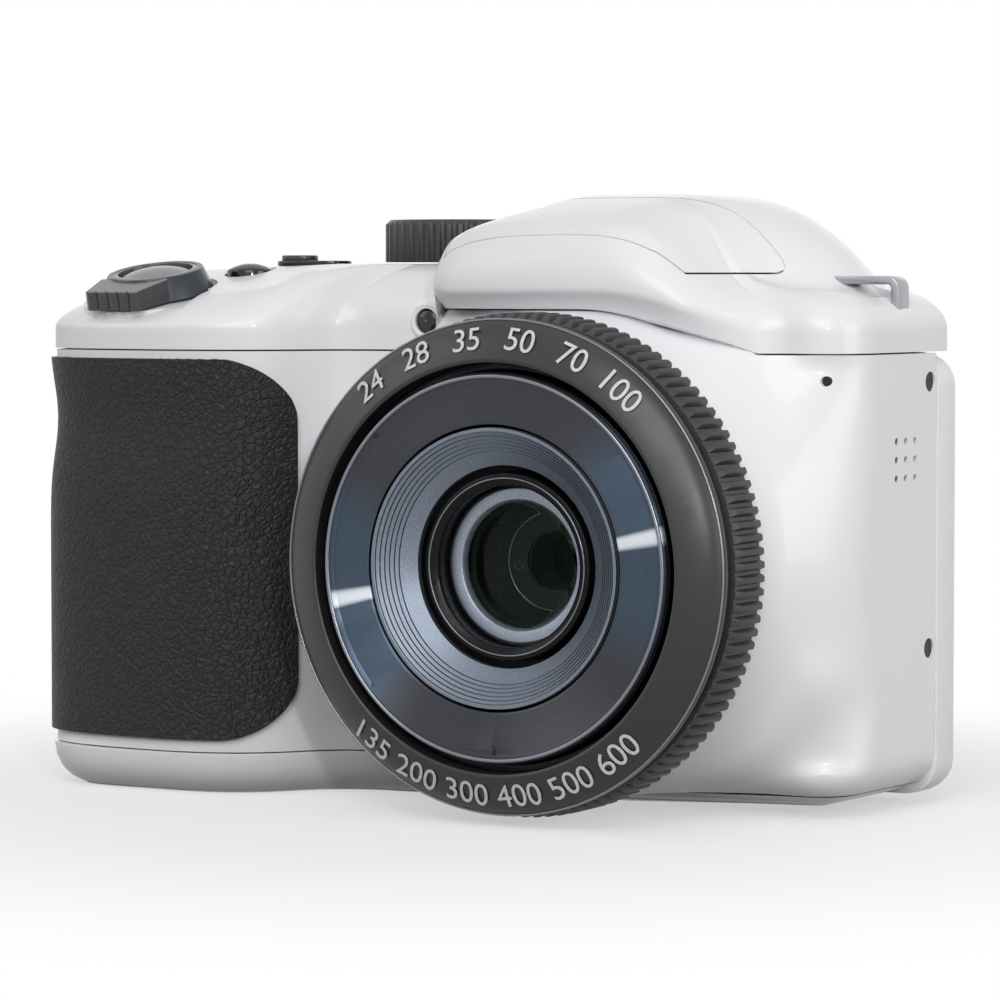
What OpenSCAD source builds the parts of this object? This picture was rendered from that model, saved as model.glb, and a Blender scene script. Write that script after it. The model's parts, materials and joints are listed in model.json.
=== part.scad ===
// Bridge camera with a flared lens turret, a two-stage zoom, a pop-up flash and a rubber grip.
// X = 0 is the optical axis, Y = 0 the tripod socket, Z = 0 the base; the lens looks along -Y.

/* [Casing] */
// Optical axis to the plain side
side_x = 35.9; // [35.6:0.1:37]
// Optical axis to the grip side
grip_x = 72.9; // [72.6:0.1:74.5]
// Tripod socket to the rear face
rear_y = 14.2; // [14:0.1:15]
// Tripod socket to the front face
front_y = 15; // [14.8:0.1:15.4]
// Tripod socket to the front of the grip
grip_y = 28; // [27.8:0.1:29]
// Height of the joint under the top cover
seam_z = 54.8; // [54.4:0.1:55.4]
// Height of the joint over the bottom cover, at the grip
tray_z = 5.2; // [4.8:0.1:5.6]
// Rounding of the bottom edges
base_round = 5; // [4.6:0.1:5.4]
// Rounding of the bottom edges beside the lens
side_round = 8; // [7:0.1:8.4]
// Thickness of the moulded walls
wall = 2.2; // [2:0.05:2.3]
// Depth of the finger waist in the grip
waist = 1; // [0:0.1:1.2]
// Gap along the joints of the casing
seam_gap = 0.2; // [0.15:0.05:0.3]

/* [Top] */
// Height of the hump
hump_z = 73.8; // [73.4:0.1:75]
// Height of the deck beside the hump
deck_z = 65.5; // [65.2:0.1:66]
// Tripod socket to the visor over the lens
visor_y = 24.5; // [24.2:0.1:25]
// Height of the lip under the visor
lip_z = 60.6; // [60.4:0.1:61]

/* [Lens] */
// Height of the optical axis
axis_z = 30.2; // [30.1:0.1:30.6]
// Tripod socket to the front of the lens at rest
lens_y = 37.5; // [37:0.1:38.5]
// Radius over the knurled ring
knurl_r = 29.4; // [29.2:0.1:29.6]
// Teeth round the knurled ring
knurl_teeth = 116; // [90:1:130]
// Radius of the zoom barrel
barrel_r = 22.6; // [22.3:0.1:22.7]
// Radius of the nose barrel
nose_r = 16.3; // [16:0.1:16.5]
// Radius of the front glass in view
glass_r = 7.4; // [7:0.1:7.6]
// Travel of the zoom barrel
zoom_travel = 17; // [12:0.5:18]
// Travel of the nose barrel out of the zoom barrel
nose_travel = 13; // [8:0.5:14]

/* [Controls] */
// Radius of the mode dial
dial_r = 9.2; // [8.6:0.1:9.4]
// Height of the mode dial
dial_h = 5.3; // [4.5:0.1:6]
// Radius of the shutter button
shutter_r = 4.4; // [4:0.1:4.6]
// Radius of the zoom lever
lever_r = 7; // [6.6:0.1:7.2]
// Radius of the small keys
key_r = 3; // [2.6:0.1:3.3]
// Radius of the four-way pad
pad_r = 10.5; // [9.5:0.1:11]
// Width of the screen window
screen_w = 70; // [68:0.5:71]
// Height of the screen window
screen_h = 48; // [46:0.5:49]

/* [Fits] */
// Radial gap between pieces that slide in one another
run_gap = 0.3; // [0.25:0.01:0.35]
// Gap round each button
key_gap = 0.3; // [0.25:0.05:0.4]
// Gap between pieces that are seated on one another
seat_gap = 0.1; // [0.05:0.01:0.15]

/* [Hidden] */
$fn = 64;

far = 100;
joint_y = 7;
corner_r = 7;
side_draft = 1;
grip_draft = 0.8;
tray_x = 8;
floor_t = 1.8;
waist_z = 46;
shoulder_z = 2.6;
shoulder_r = 8.5;
corner_shoulder = 6.4;
rear_shoulder = 4.6;
visor_r = 4.6;
rear_r = 5;

// Lens seats, counted back from the lens front.
bezel_y = -lens_y - 0.2;
bezel_back = bezel_y + 5.45;
knurl_back = bezel_back + 6.7;
collar_r = knurl_r - 1;
spigot_r = knurl_r - 2.4;
turret_bore = spigot_r - 1.6;
flare_r = collar_r + 9.6;
fixed_in = barrel_r + run_gap;
fixed_out = fixed_in + 1.5;
lens_back = 1.5;
chassis_y = 4.8;
barrel_len = 28;
nose_len = 22;
cell_lip = 10.9;
cell_y = -lens_y + 3.6;
glass_y = -lens_y + 6.7;

// Flash seats.
pivot = [-7.6, 71.2 + hump_z - 73.8];
knuckle_r = 1.6;
flash_low = deck_z - 1.3;
flash_top = hump_z - 4.4;
flash_rear = -5.5;
flash_x = [-15.8, 22];

// Control seats.
shutter_at = [-59.2, -18];
shutter_tilt = 12;
burst_at = [-51.9, -8];
power_at = [-46.4, -1.5];
dial_at = [-27.8, 3];
lamp_at = [-21.6, 58.3];
shutter_seat = deck_z - 4.2;

// Rear seats.
skin_y = rear_y - 1.6;
key_back = skin_y - 1.5;
mat_y = key_back - 1.7;
screen_at = [-1.6, 28.2];
pad_at = [-55, 25.5];
record_at = [-44.5, 47.6];
menu_at = [-63.6, 41];
play_at = [-48.4, 39.6];
delete_at = [-63.6, 9.6];

// Power seats.
cell_r = 7.25;
cell_len = 50.5;
cell_x = -grip_x + 12;
cell_ys = [-16.9, -2.4];
holder_r = cell_r + 1;
holder_z = floor_t + 1.2;
door_x = [-grip_x + 4.6, -49.6];
door_ys = [-24.2, 4.9];
hinge = [door_ys[1], floor_t / 2];
hinge_r = floor_t / 2;
pin_r = 0.45;
latch_at = [-59, -18.5];

screw_ys = 5.5;
screw_zs = [19.3, 51.2];
speaker_at = [-0.6, 42.1];

function clamp(t) = max(0, min(1, t));
function ease(t) = let (c = clamp(t)) c * c * (3 - 2 * c);
function mix(a, b, t) = a + (b - a) * t;
function bezier(a, b, c, d, n) = [for (i = [0 : n - 1]) let (t = i / n, s = 1 - t)
    a * s * s * s + b * 3 * s * s * t + c * 3 * s * t * t + d * t * t * t];
function arc(c, r, a, b, n) = [for (i = [0 : n - 1]) let (t = mix(a, b, i / n)) c + r * [cos(t), sin(t)]];
function left_of(d) = [-d[1], d[0]] / norm(d);
function soft_max(a, b, k) = (a + b + sqrt((a - b) * (a - b) + k * k)) / 2;

// Outline of the grip, from the front face round to the grip side.
grip_line = concat(
    bezier([-27, -front_y], [-33, -front_y], [-34.5, -front_y - 2], [-37.5, -front_y - 6], 6),
    bezier([-37.5, -front_y - 6], [-40.5, -front_y - 10], [-45, -grip_y], [-53, -grip_y], 7),
    bezier([-61, -grip_y], [-grip_x + 3.5, -grip_y], [-grip_x, -grip_y + 3.5], [-grip_x, -grip_y + 11.5], 10),
    [[-grip_x, -grip_y + 11.5]]);
front_corner = arc([side_x - side_draft - corner_r, corner_r - front_y], corner_r, 0, -90, 7);

// Outline of the lower casing, open at the rear joint.
low_line = concat([[side_x, joint_y]], front_corner, [[side_x - side_draft - corner_r, -front_y]], grip_line,
    [[-grip_x + grip_draft, joint_y]]);
low_normals = [for (i = [0 : len(low_line) - 1])
    left_of(low_line[min(i + 1, len(low_line) - 1)] - low_line[max(i - 1, 0)])];

// Outline of the top cover, with the visor over the lens.
top_line = concat(
    arc([side_x - rear_r, rear_y - rear_r], rear_r, 90, 0, 4),
    [[side_x, rear_y - rear_r]],
    front_corner,
    bezier([side_x - side_draft - corner_r, -front_y], [22.5, -front_y], [20.5, -front_y - 6], [15.5, -visor_y + 1.4], 7),
    bezier([15.5, -visor_y + 1.4], [8, -visor_y - 0.5], [-7, -visor_y - 0.5], [-14, -visor_y + 1.4], 7),
    bezier([-14, -visor_y + 1.4], [-18.8, -visor_y + 2.8], [-18.2, -front_y - 2.4], [-20.8, -front_y], 7),
    [[-20.8, -front_y]],
    grip_line,
    [[-grip_x + grip_draft, rear_y - rear_r - 2]],
    arc([-grip_x + grip_draft + rear_r, rear_y - rear_r], rear_r, 180, 90, 4),
    [[-grip_x + grip_draft + rear_r, rear_y]],
    [for (i = [1 : 3]) [mix(-grip_x + grip_draft + rear_r, side_x - rear_r, i / 4), rear_y]]);
hub = [-24, 2];
top_count = len(top_line);

function visor_share(p) = p[1] > 0.5 - front_y ? 0 : p[0] > 0 ? clamp((23.6 - p[0]) / 6) : clamp((p[0] + 20.4) / 2);
top_shares = [for (p = top_line) visor_share(p)];
// Each outline point moves in along its spoke to the hub, by as much as takes it t from the outline.
top_spokes = [for (i = [0 : top_count - 1]) let (
    n = left_of(top_line[(i + 1) % top_count] - top_line[(i + top_count - 1) % top_count]),
    r = (top_line[i] - hub) / norm(top_line[i] - hub)) r / max(0.45, n * r)];
function inward(i, t) = top_line[i] - top_spokes[i] * t;

// Height of the deck: it falls towards the front of the grip and over the plain shoulder.
function deck(x, y) = deck_z - 0.22 * max(0, -6 - y) * ease((-30 - x) / 14) - 0.04 * max(0, -40 - x)
    - 3.2 * ease((x - 10) / 17);
// Height of the hump: flat along its crown, steeper beside the dial than over the plain shoulder.
function crown(y) = hump_z - 4.2 * pow(max(0, -2 - y) / 20, 1.5) - 3 * pow(max(0, y - 5) / 9, 2);
function hump_half(x, y) = x < 0 ? mix(20, 15, ease((y + 18) / 8)) : mix(15.5, 22, ease((y + 16) / 20));
function hump(x, y) = crown(y) - 10.6 * pow(max(0, abs(x) / hump_half(x, y) - 0.2), 3);
function roof(x, y) = soft_max(deck(x, y), hump(x, y), 1.6) - 0.2;

// Rounding of the top edge: wide over the grip, less at the plain corner, small at the rear.
function shoulder(i) = mix(mix(mix(shoulder_r, corner_shoulder, ease((top_line[i][0] + 20) / 40)), rear_shoulder,
    ease((top_line[i][1] + 2) / 8)), visor_r, top_shares[i]);
// Rings of the top cover from its lower edge to the middle of the deck; d is the wall to stay inside of.
function foot(i, d) = mix(seam_z, lip_z, top_shares[i]) - (d > 0 ? 4 : 0);
function rim_ring(d, inset, rise) = [for (i = [0 : top_count - 1]) let (
    q = inward(i, d + inset * top_shares[i])) [q[0], q[1], foot(i, d) + rise]];
function edge_ring(a, d) = [for (i = [0 : top_count - 1]) let (
    q = inward(i, d + (shoulder(i) - d) * (1 - cos(a))),
    z = mix(seam_z, lip_z, top_shares[i]) + shoulder_z) [q[0], q[1], mix(z, roof(q[0], q[1]) - d, sin(a))]];
function roof_ring(f, d) = [for (i = [0 : top_count - 1]) let (
    q = mix(hub, inward(i, shoulder(i)), f)) [q[0], q[1], roof(q[0], q[1]) - d]];
function top_rings(d, steps, spokes) = concat([rim_ring(d, 0.9, 0), rim_ring(d, 0.15, 0.9)],
    [for (a = steps) edge_ring(a, d)], [for (f = spokes) roof_ring(f, d)]);

// Rings of the lower casing.
function round_at(x) = mix(base_round, side_round, ease((x + 20) / 30));
function base_inset(z, x) = let (r = round_at(x), h = mix(base_round, side_round, 0.5 * ease((x + 20) / 30)))
    z >= h ? 0 : r - r * sqrt(1 - pow(1 - max(z, low_levels[0]) / h, 2));
function waist_at(z, x) = waist * exp(-pow((z - waist_z) / 6, 2)) * ease((-40 - x) / 10);
function low_point(i, z, off) = let (d = base_inset(z, low_line[i][0]) + waist_at(z, low_line[i][0]) - off,
    q = low_line[i] - low_normals[i] * d) [q[0], q[1], z];
function low_ring(z) = [for (i = [0 : len(low_line) - 1]) low_point(i, z, 0)];
low_levels = concat([0.12], [for (a = [18 : 18 : 72]) base_round * (1 - cos(a))], [base_round, side_round - 1.4, side_round, 14, 24, 33],
    [for (z = [waist_z - 9 : 3 : waist_z + 6]) z]);
function levels(a, b) = concat([a], [for (z = low_levels) if (z > a + 0.1 && z < b - 0.1) z], [b]);
function low_inset(d) = concat([[side_x - d, joint_y + 2]],
    [for (i = [0 : len(low_line) - 1]) low_line[i] - low_normals[i] * d], [[-grip_x + grip_draft + d, joint_y + 2]]);

// A solid through closed rings of equal count; the ends close on one point each.
module skin(rings, low, high) {
    n = len(rings[0]);
    m = len(rings);
    polyhedron(concat([for (r = rings) each r], [low, high]), concat(
        [for (i = [0 : n - 1]) [(i + 1) % n, i, n * m]],
        [for (j = [0 : m - 2], i = [0 : n - 1]) let (a = j * n + i, b = j * n + (i + 1) % n)
            each [[a, b, b + n], [a, b + n, a + n]]],
        [for (i = [0 : n - 1]) [n * (m - 1) + i, n * (m - 1) + (i + 1) % n, n * m + 1]]));
}
function thin(r) = [for (i = [0 : 2 : len(r) - 1]) r[i]];
module low_skin(a, b) {
    intersection() {
        skin([for (z = levels(a - 1, b + 1)) low_ring(z)], [-18, -6, a - 1], [-18, -6, b + 1]);
        box([-far, -far, a], [far, far, b]);
    }
}
module top_outer() {
    skin(top_rings(0, [0, 22, 44, 66, 90], [0.88, 0.76, 0.65, 0.55, 0.46, 0.37, 0.28, 0.18, 0.09]),
        [hub[0] - 3.1, hub[1] - 1.7, seam_z + 2], [hub[0], hub[1], roof(hub[0], hub[1])]);
}
module top_inner(d = wall) {
    skin([for (r = top_rings(d, [0, 30, 60, 90], [0.8, 0.62, 0.46, 0.3, 0.14])) thin(r)],
        [hub[0], hub[1], seam_z - 6], [hub[0], hub[1], roof(hub[0], hub[1]) - d]);
}

// A cylinder, a box and a ring that lie along Y.
module rod_y(x, z, r, a, b, facets = $fn) {
    translate([x, b, z]) rotate([90, 0, 0]) cylinder(r = r, h = b - a, $fn = facets);
}
module ring_y(r, q, a, b) {
    translate([0, b, axis_z]) rotate([90, 0, 0]) linear_extrude(b - a) difference() {
        circle(r);
        circle(q);
    }
}
module box(a, b) {
    translate(a) cube(b - a);
}
// A profile of radius and Y turned about the optical axis.
module turned(p, facets = 128) {
    translate([0, 0, axis_z]) rotate([-90, 0, 0]) rotate_extrude($fn = facets) polygon(p);
}
// A plane shape of X and Z drawn out along Y.
module drawn_y(a, b) {
    translate([0, b, 0]) rotate([90, 0, 0]) linear_extrude(b - a) children();
}
// A plane shape of Y and Z drawn out along X.
module drawn_x(a, b) {
    translate([a, 0, 0]) rotate([90, 0, 90]) linear_extrude(b - a) children();
}
module rounded(a, b, r) {
    translate([a[0] + r, a[1]]) square([b[0] - a[0] - 2 * r, b[1] - a[1]]);
    translate([a[0], a[1] + r]) square([b[0] - a[0], b[1] - a[1] - 2 * r]);
    for (x = [a[0] + r, b[0] - r], y = [a[1] + r, b[1] - r]) translate([x, y]) circle(r);
}

flare = bezier([collar_r, knurl_back], [collar_r + 1.1, knurl_back + 5], [collar_r + 4.6, 0.2 - front_y - 1.2],
    [flare_r, 0.2 - front_y], 8);
module turret() {
    clip_x = side_x - side_draft - 0.1;
    low = floor_t + seam_gap + 0.1;
    high = seam_z - seam_gap - 0.1;
    brow = lip_z - seam_gap - 0.1;
    intersection() {
        turned(concat([[turret_bore, bezel_back + 1], [spigot_r, bezel_back + 1], [spigot_r, knurl_back]], flare,
            [[flare_r, 0.2 - front_y], [flare_r, corner_r - front_y - 0.5], [turret_bore, corner_r - front_y - 0.5]]), 72);
        drawn_y(-far, far) {
            rounded([-far, low], [clip_x, high], 6);
            translate([0, axis_z]) square([clip_x, high - axis_z]);
            polygon([[-20.5, axis_z], [23.6, axis_z], [23.6, high], [17.6, brow], [-18.4, brow], [-20.4, high]]);
        }
    }
}
module front_cavity() {
    translate([0, 0, base_round]) linear_extrude(far) polygon(low_inset(wall));
    linear_extrude(base_round + 1) polygon(low_inset(wall + 2));
    turned(concat([[turret_bore, -front_y - 8.3]],
        bezier([spigot_r - 0.9, -front_y - 8.3], [spigot_r + 0.2, -front_y - 4.5], [spigot_r + 2.5, -front_y + 0.5],
            [spigot_r + 5, wall - front_y + 0.1], 6),
        [[spigot_r + 5, wall - front_y + 0.1], [turret_bore, wall - front_y + 0.1]]), 48);
}
post_at = [[27, 10], [27, 49.4], [-31, 9], [-31, 48]];

module front_cover() {
    color("white") difference() {
        union() {
            difference() {
                union() {
                    low_skin(floor_t + seam_gap, seam_z - seam_gap);
                    turret();
                }
                front_cavity();
                box([-far, -far, -far], [tray_x, far, tray_z + seam_gap]);
                rod_y(0, axis_z, turret_bore, -far, wall - front_y, 72);
            }
            for (p = post_at) rod_y(p[0], p[1], 2.2, -front_y + 0.7, chassis_y - seat_gap);
        }
        for (z = screw_zs, x = [side_x, -grip_x + grip_draft]) translate([x, screw_ys, z]) rotate([0, 90, 0]) {
            cylinder(r = 1.2, h = 2.4, center = true);
            cylinder(r = 0.8, h = 12, center = true);
        }
        for (y = [-2.3, 0, 2.3], z = [-2.2, 0, 2.2])
            translate([side_x, y + speaker_at[0], z + speaker_at[1]]) rotate([0, 90, 0])
                cylinder(r = 0.42, h = 8, center = true, $fn = 12);
        rod_y(31.2, 51.6, 0.6, -far, 0, 16);
    }
}
module flash_profile(g) {
    polygon([[-far, flash_top - g], [-visor_y + 2, flash_top - g], [-visor_y + 4.7 - g, flash_low - g],
        [flash_rear - 1.6, flash_low - g], [flash_rear - 0.4 + g, flash_low + 0.4 - g], [flash_rear + g, flash_low + 1.6],
        [flash_rear + g, pivot[1]], [pivot[0], pivot[1]], [pivot[0], far], [-far, far]]);
    translate(pivot) circle(flash_rear - pivot[0] + g);
}
module flash_room(g) {
    drawn_x(flash_x[0] - g, flash_x[1]) flash_profile(g);
}
module lug(side, g) {
    x = side > 0 ? side_x - 1.6 : grip_x - grip_draft - 1.6;
    scale([side, 1, 1]) drawn_y(-0.6 - g, 2.6 + g) difference() {
        union() {
            translate([x - 8.6 - g, lug_z - 1 - g]) square([7.1 + g, 1 + 2 * g]);
            translate([x - 1 - g, seam_z + 1.8 - g]) square([1 + 2 * g, lug_z - seam_z - 3.3 + g]);
            translate([x - 1.5, lug_z - 1.5]) circle(1.5 + g);
        }
        translate([x - 9 - g, lug_z - 4]) square([7.5 + g, 3 - g]);
        translate([x - 4, lug_z - 4]) square([3 - g, 2.5 - g]);
        translate([x - 1.5, lug_z - 1.5]) circle(0.5 - g);
    }
}
lug_z = deck_z - 1.7;
module shutter_frame() {
    translate([shutter_at[0], shutter_at[1], shutter_seat]) rotate([shutter_tilt, 0, 0]) children();
}
module top_cover() {
    color("white") difference() {
        union() {
            difference() {
                top_outer();
                top_inner();
                flash_room(seam_gap);
                for (s = [-1, 1]) lug_scoop(s);
            }
            intersection() {
                top_inner(wall / 2);
                union() {
                    box([flash_x[0] - 2, flash_rear + 1, lip_z - 1.6], [21, flash_rear + 3, hump_z]);
                    for (s = [-1, 1]) lug_boss(s);
                    shutter_frame() translate([0, 0, -2]) cylinder(r = lever_r + 2.4, h = 2);
                }
            }
            for (p = board_posts) translate([p[0], p[1], board_z + 1 + seat_gap])
                cylinder(r = 1.6, h = deck_z - board_z - 3);
            rod_y(lamp_at[0], lamp_at[1], 2.2, -front_y - 0.6, wall - front_y);
        }
        rod_y(lamp_at[0], lamp_at[1], 1.55, -far, 0);
        shutter_frame() {
            cylinder(r = lever_r + 0.6, h = far, $fn = 48);
            translate([0, 0, -9]) cylinder(r = 2.2, h = far);
            translate([-8.4, -lever_r - 5, 0]) cube([16.8, lever_r + 5, far]);
        }
        translate([burst_at[0], burst_at[1], board_z]) cylinder(r = key_r + key_gap, h = far);
        translate([power_at[0], power_at[1], deck_z - 0.6]) linear_extrude(far) pill(10.4, 5.4);
        translate([power_at[0] - 2.2, power_at[1], board_z]) cylinder(r = 1.5, h = far);
        translate([dial_at[0], dial_at[1], deck_z - 0.3]) cylinder(r = dial_r + 0.6, h = far, $fn = 48);
        translate([dial_at[0], dial_at[1], board_z]) cylinder(r = spindle_r + run_gap, h = far);
        for (s = [-1, 1]) lug(s, seat_gap);
    }
}
board_posts = [[-66, -5], [-37.5, -10], [-22.5, -9]];
spindle_r = 2.5;
module lug_boss(side) {
    x = side > 0 ? side_x - 10.6 : grip_x - grip_draft - 10.6;
    scale([side, 1, 1]) box([x, -2, board_z + 1.3], [x + 8.6, 4, lug_z + 3]);
}
module lug_scoop(side) {
    x = side > 0 ? side_x - 5 : grip_x - grip_draft - 5;
    scale([side, 1, 1]) translate([x, 1, lug_z + 0.4]) rotate([90, 0, 0]) cylinder(r = 3.2, h = 9, center = true);
}
module pill(w, h) {
    square([w - h, h], center = true);
    for (x = [-1, 1]) translate([x * (w - h) / 2, 0]) circle(h / 2);
}
board_z = seam_z + 1.4;

// Rings of the rear cover, round at the corners and along the rear edge.
rear_lo = [-grip_x + 0.5, floor_t + seam_gap - 0.6];
rear_hi = [side_x + 0.2, seam_z - seam_gap];
rear_corner = 4;
rear_edge = 2.4;
function rear_ring(y, d) = [for (k = [0 : 3], i = [0 : 5]) let (
    u = 90 * k + 18 * i,
    x = k < 2 ? rear_lo[0] + rear_corner : rear_hi[0] - rear_corner,
    z = k == 1 || k == 2 ? rear_lo[1] + rear_corner : rear_hi[1] - rear_corner)
    [x - (rear_corner - d) * sin(u), y, z + (rear_corner - d) * cos(u)]];
module rear_block() {
    mid = (rear_lo + rear_hi) / 2;
    skin(concat([rear_ring(joint_y + seam_gap, 0)], [for (a = [0 : 22.5 : 90])
        rear_ring(rear_y - rear_edge * (1 - sin(a)), rear_edge * (1 - cos(a)))]),
        [mid[0], joint_y + seam_gap, mid[1]], [mid[0], rear_y, mid[1]]);
}
module rear_key_hole(p, r) {
    rod_y(p[0], p[1], r + key_gap, joint_y, far);
}
module rear_cover() {
    color("white") difference() {
        union() {
            difference() {
                rear_block();
                drawn_y(0, skin_y) rounded([-grip_x + wall, floor_t + wall], [side_x - wall + 0.4, seam_z - wall], 3);
            }
            for (z = screw_zs) {
                box([side_x - wall - 2.6, 1.8, z - 2.6], [side_x - wall - 0.5, skin_y - 0.6, z + 2.6]);
                box([side_x - wall - 2.6, joint_y + 0.8, z - 2.6], [side_x - wall + 0.8, skin_y - 0.6, z + 2.6]);
                box([-grip_x + wall + 0.6, 2.6, z - 2.6], [-grip_x + wall + 2.4, skin_y + 0.4, z + 2.6]);
            }
            for (z = [5.6, 51]) rod_y(-53, z, 1.4, mat_y + 1, skin_y + 0.3);
        }
        drawn_y(skin_y - 0.5, far) rounded([screen_at[0] - screen_w / 2 - seat_gap, screen_at[1] - screen_h / 2 - seat_gap],
            [screen_at[0] + screen_w / 2 + seat_gap, screen_at[1] + screen_h / 2 + seat_gap], 2);
        for (p = [menu_at, play_at, delete_at]) rear_key_hole(p, key_r);
        rear_key_hole(record_at, key_r + 0.7);
        rear_key_hole(pad_at, pad_r);
        for (z = screw_zs, x = [side_x, -grip_x]) translate([x, screw_ys, z]) rotate([0, 90, 0])
            cylinder(r = 0.62, h = 14, center = true);
    }
}
// Plan of the battery door, square at its hinge edge.
module door_plan(g, edge) {
    rounded([door_x[0] - g, door_ys[0] - g], [door_x[1] + g, edge], 4);
    translate([door_x[0] - g, 0]) square([door_x[1] - door_x[0] + 2 * g, edge]);
}
module hinge_bore(r) {
    drawn_x(-far, far) translate(hinge) circle(r);
}
module bottom_cover() {
    color("white") difference() {
        low_skin(0, tray_z);
        translate([0, 0, floor_t]) linear_extrude(far) polygon(low_inset(wall + 0.4));
        box([tray_x, -far, floor_t], [far, far, far]);
        translate([0, 0, -1]) linear_extrude(far) door_plan(seam_gap, hinge[0] + hinge_r + seam_gap);
        drawn_x(door_x[0] - 0.8, door_x[1] + 2.1) translate(hinge) circle(pin_r + 0.01);
        translate([0, 0, -1]) cylinder(r = 5.5 + seat_gap, h = 9);
        for (p = base_screws) translate([p[0], p[1], -1]) cylinder(r = 1.3, h = 9);
    }
}
base_screws = [[24, 2], [-30, 3], [-34, -8]];

rubber_gap = 0.05;
rubber_t = 0.75;
rubber_first = 11;
rubber_last = len(low_line) - 2;
module grip_rubber() {
    z0 = tray_z + 1.7;
    z1 = seam_z - 1.2;
    rings = [for (z = levels(z0, z1)) concat(
        [for (i = [rubber_first : rubber_last]) low_point(i, z, rubber_t)],
        [for (i = [rubber_last : -1 : rubber_first]) low_point(i, z, rubber_gap)])];
    color("dimgray") intersection() {
        band(rings);
        drawn_y(-far, far) rounded([-far, z0 - 1], [-37.2, z1], 7.5);
        drawn_y(-far, far) rounded([-far, z0], [-37.2, z1 + 1], 7.5);
    }
}
// A bent strip through closed rings whose second half runs back along the first.
module band(rings) {
    n = len(rings[0]);
    m = len(rings);
    t = n * (m - 1);
    polyhedron([for (r = rings) each r], concat(
        [for (i = [0 : n / 2 - 2]) [i + 1, i, n - 1 - i, n - 2 - i]],
        [for (j = [0 : m - 2], i = [0 : n - 1]) let (a = j * n + i, b = j * n + (i + 1) % n)
            each [[a, b, b + n], [a, b + n, a + n]]],
        [for (i = [0 : n / 2 - 2]) [t + i, t + i + 1, t + n - 2 - i, t + n - 1 - i]]));
}
module chassis_plate() {
    color("silver") difference() {
        union() {
            drawn_y(chassis_y, chassis_y + 0.8) rounded([-34, 5.4], [30.2, 52.5], 2);
            for (a = [30, 150, 270]) rod_y(20.5 * cos(a), axis_z + 20.5 * sin(a), 2, lens_back + 1.1 + seat_gap, chassis_y + 0.4);
        }
        drawn_y(0, far) rounded([-4, axis_z - 6], [4, axis_z + 6], 1);
    }
}
socket_r = 3.175;
socket_len = 4.6;
module tripod_bush() {
    color("silver") difference() {
        union() {
            cylinder(r = 5.5, h = socket_len + 0.5);
            translate([0, 0, floor_t + seat_gap]) cylinder(r = 7, h = 1.2);
        }
        translate([0, 0, -1]) cylinder(r = socket_r, h = socket_len + 1);
    }
}
module strap_lugs() {
    color("gray") for (s = [-1, 1]) lug(s, 0);
}
module screw(r, q, h, l) {
    cylinder(r = r, h = h);
    translate([0, 0, -l]) cylinder(r = q, h = l + 0.1);
}
module case_screws() {
    color("gray") {
        for (z = screw_zs, s = [-1, 1])
            translate([s > 0 ? side_x - 1.15 : -grip_x + grip_draft + 1.15, screw_ys, z]) rotate([0, s * 90, 0])
                screw(1.1, 0.6, 0.5, s > 0 ? 3.8 : 2.2);
        for (p = base_screws) translate([p[0], p[1], 1.1]) rotate([180, 0, 0]) screw(1.2, 0.7, 0.5, 3.4);
    }
}
module lamp_window() {
    color("black") translate([lamp_at[0], -front_y - 0.2, lamp_at[1]]) rotate([90, 0, 0]) {
        translate([0, 0, -1.6]) cylinder(r = 1.45, h = 1.6);
        intersection() {
            translate([0, 0, -2.6]) sphere(3.1, $fn = 48);
            cylinder(r = 1.45, h = 1);
        }
    }
}
module lens_bezel() {
    bore = barrel_r + 1.1;
    rim = knurl_r - 0.6;
    color("black") turned([[bore, bezel_y], [bore + 0.4, bezel_y - 0.15], [rim - 1.3, bezel_y + 1.3],
        [rim - 0.25, bezel_y + 2.3], [rim, bezel_y + 2.7], [rim, bezel_y + 3.4], [rim - 0.7, bezel_y + 4],
        [rim - 0.7, bezel_back], [turret_bore - seat_gap, bezel_back], [turret_bore - seat_gap, bezel_back + 4],
        [turret_bore - 0.8, bezel_back + 4], [turret_bore - 0.8, bezel_back - 0.6], [bore, bezel_back - 0.6]]);
}
module knurled_ring() {
    pitch = 360 / knurl_teeth;
    depth = 0.8;
    half = knurl_r * PI / knurl_teeth;
    color("dimgray") intersection() {
        translate([0, knurl_back - seat_gap, axis_z]) rotate([90, 0, 0])
            linear_extrude(knurl_back - bezel_back - 2 * seat_gap) difference() {
                circle(knurl_r, $fn = 180);
                circle(spigot_r + seat_gap / 2, $fn = 128);
                for (i = [0 : knurl_teeth - 1]) rotate(i * pitch)
                    polygon([[knurl_r - depth, -half * 0.3], [knurl_r + 0.3, -half * 0.75],
                        [knurl_r + 0.3, half * 0.75], [knurl_r - depth, half * 0.3]]);
            }
        turned([[0, bezel_back], [knurl_r - depth, bezel_back], [knurl_r + 0.1, bezel_back + 1.3],
            [knurl_r + 0.1, knurl_back - 0.7], [knurl_r - 0.5, knurl_back], [0, knurl_back]]);
    }
}
module dust_seal() {
    color("black") ring_y(barrel_r + 1.05, barrel_r + run_gap, bezel_y + 3, bezel_y + 4);
}
ear_at = [30, 150, 270];
module fixed_barrel() {
    color("darkgray") difference() {
        union() {
            ring_y(fixed_out, fixed_in, bezel_back - 0.4, lens_back + 0.5);
            ring_y(fixed_out, 6, lens_back, lens_back + 1.1);
        }
        for (p = rod_at) rod_y(p[0], p[1], 0.8, 0, far);
    }
}
module zoom_barrel() {
    color("dimgray") {
        ring_y(barrel_r, barrel_r - 1.3, -lens_y + 1.2, -lens_y + barrel_len);
        ring_y(barrel_r, nose_r + run_gap, -lens_y + 0.9, -lens_y + 2.2);
    }
}
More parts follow.
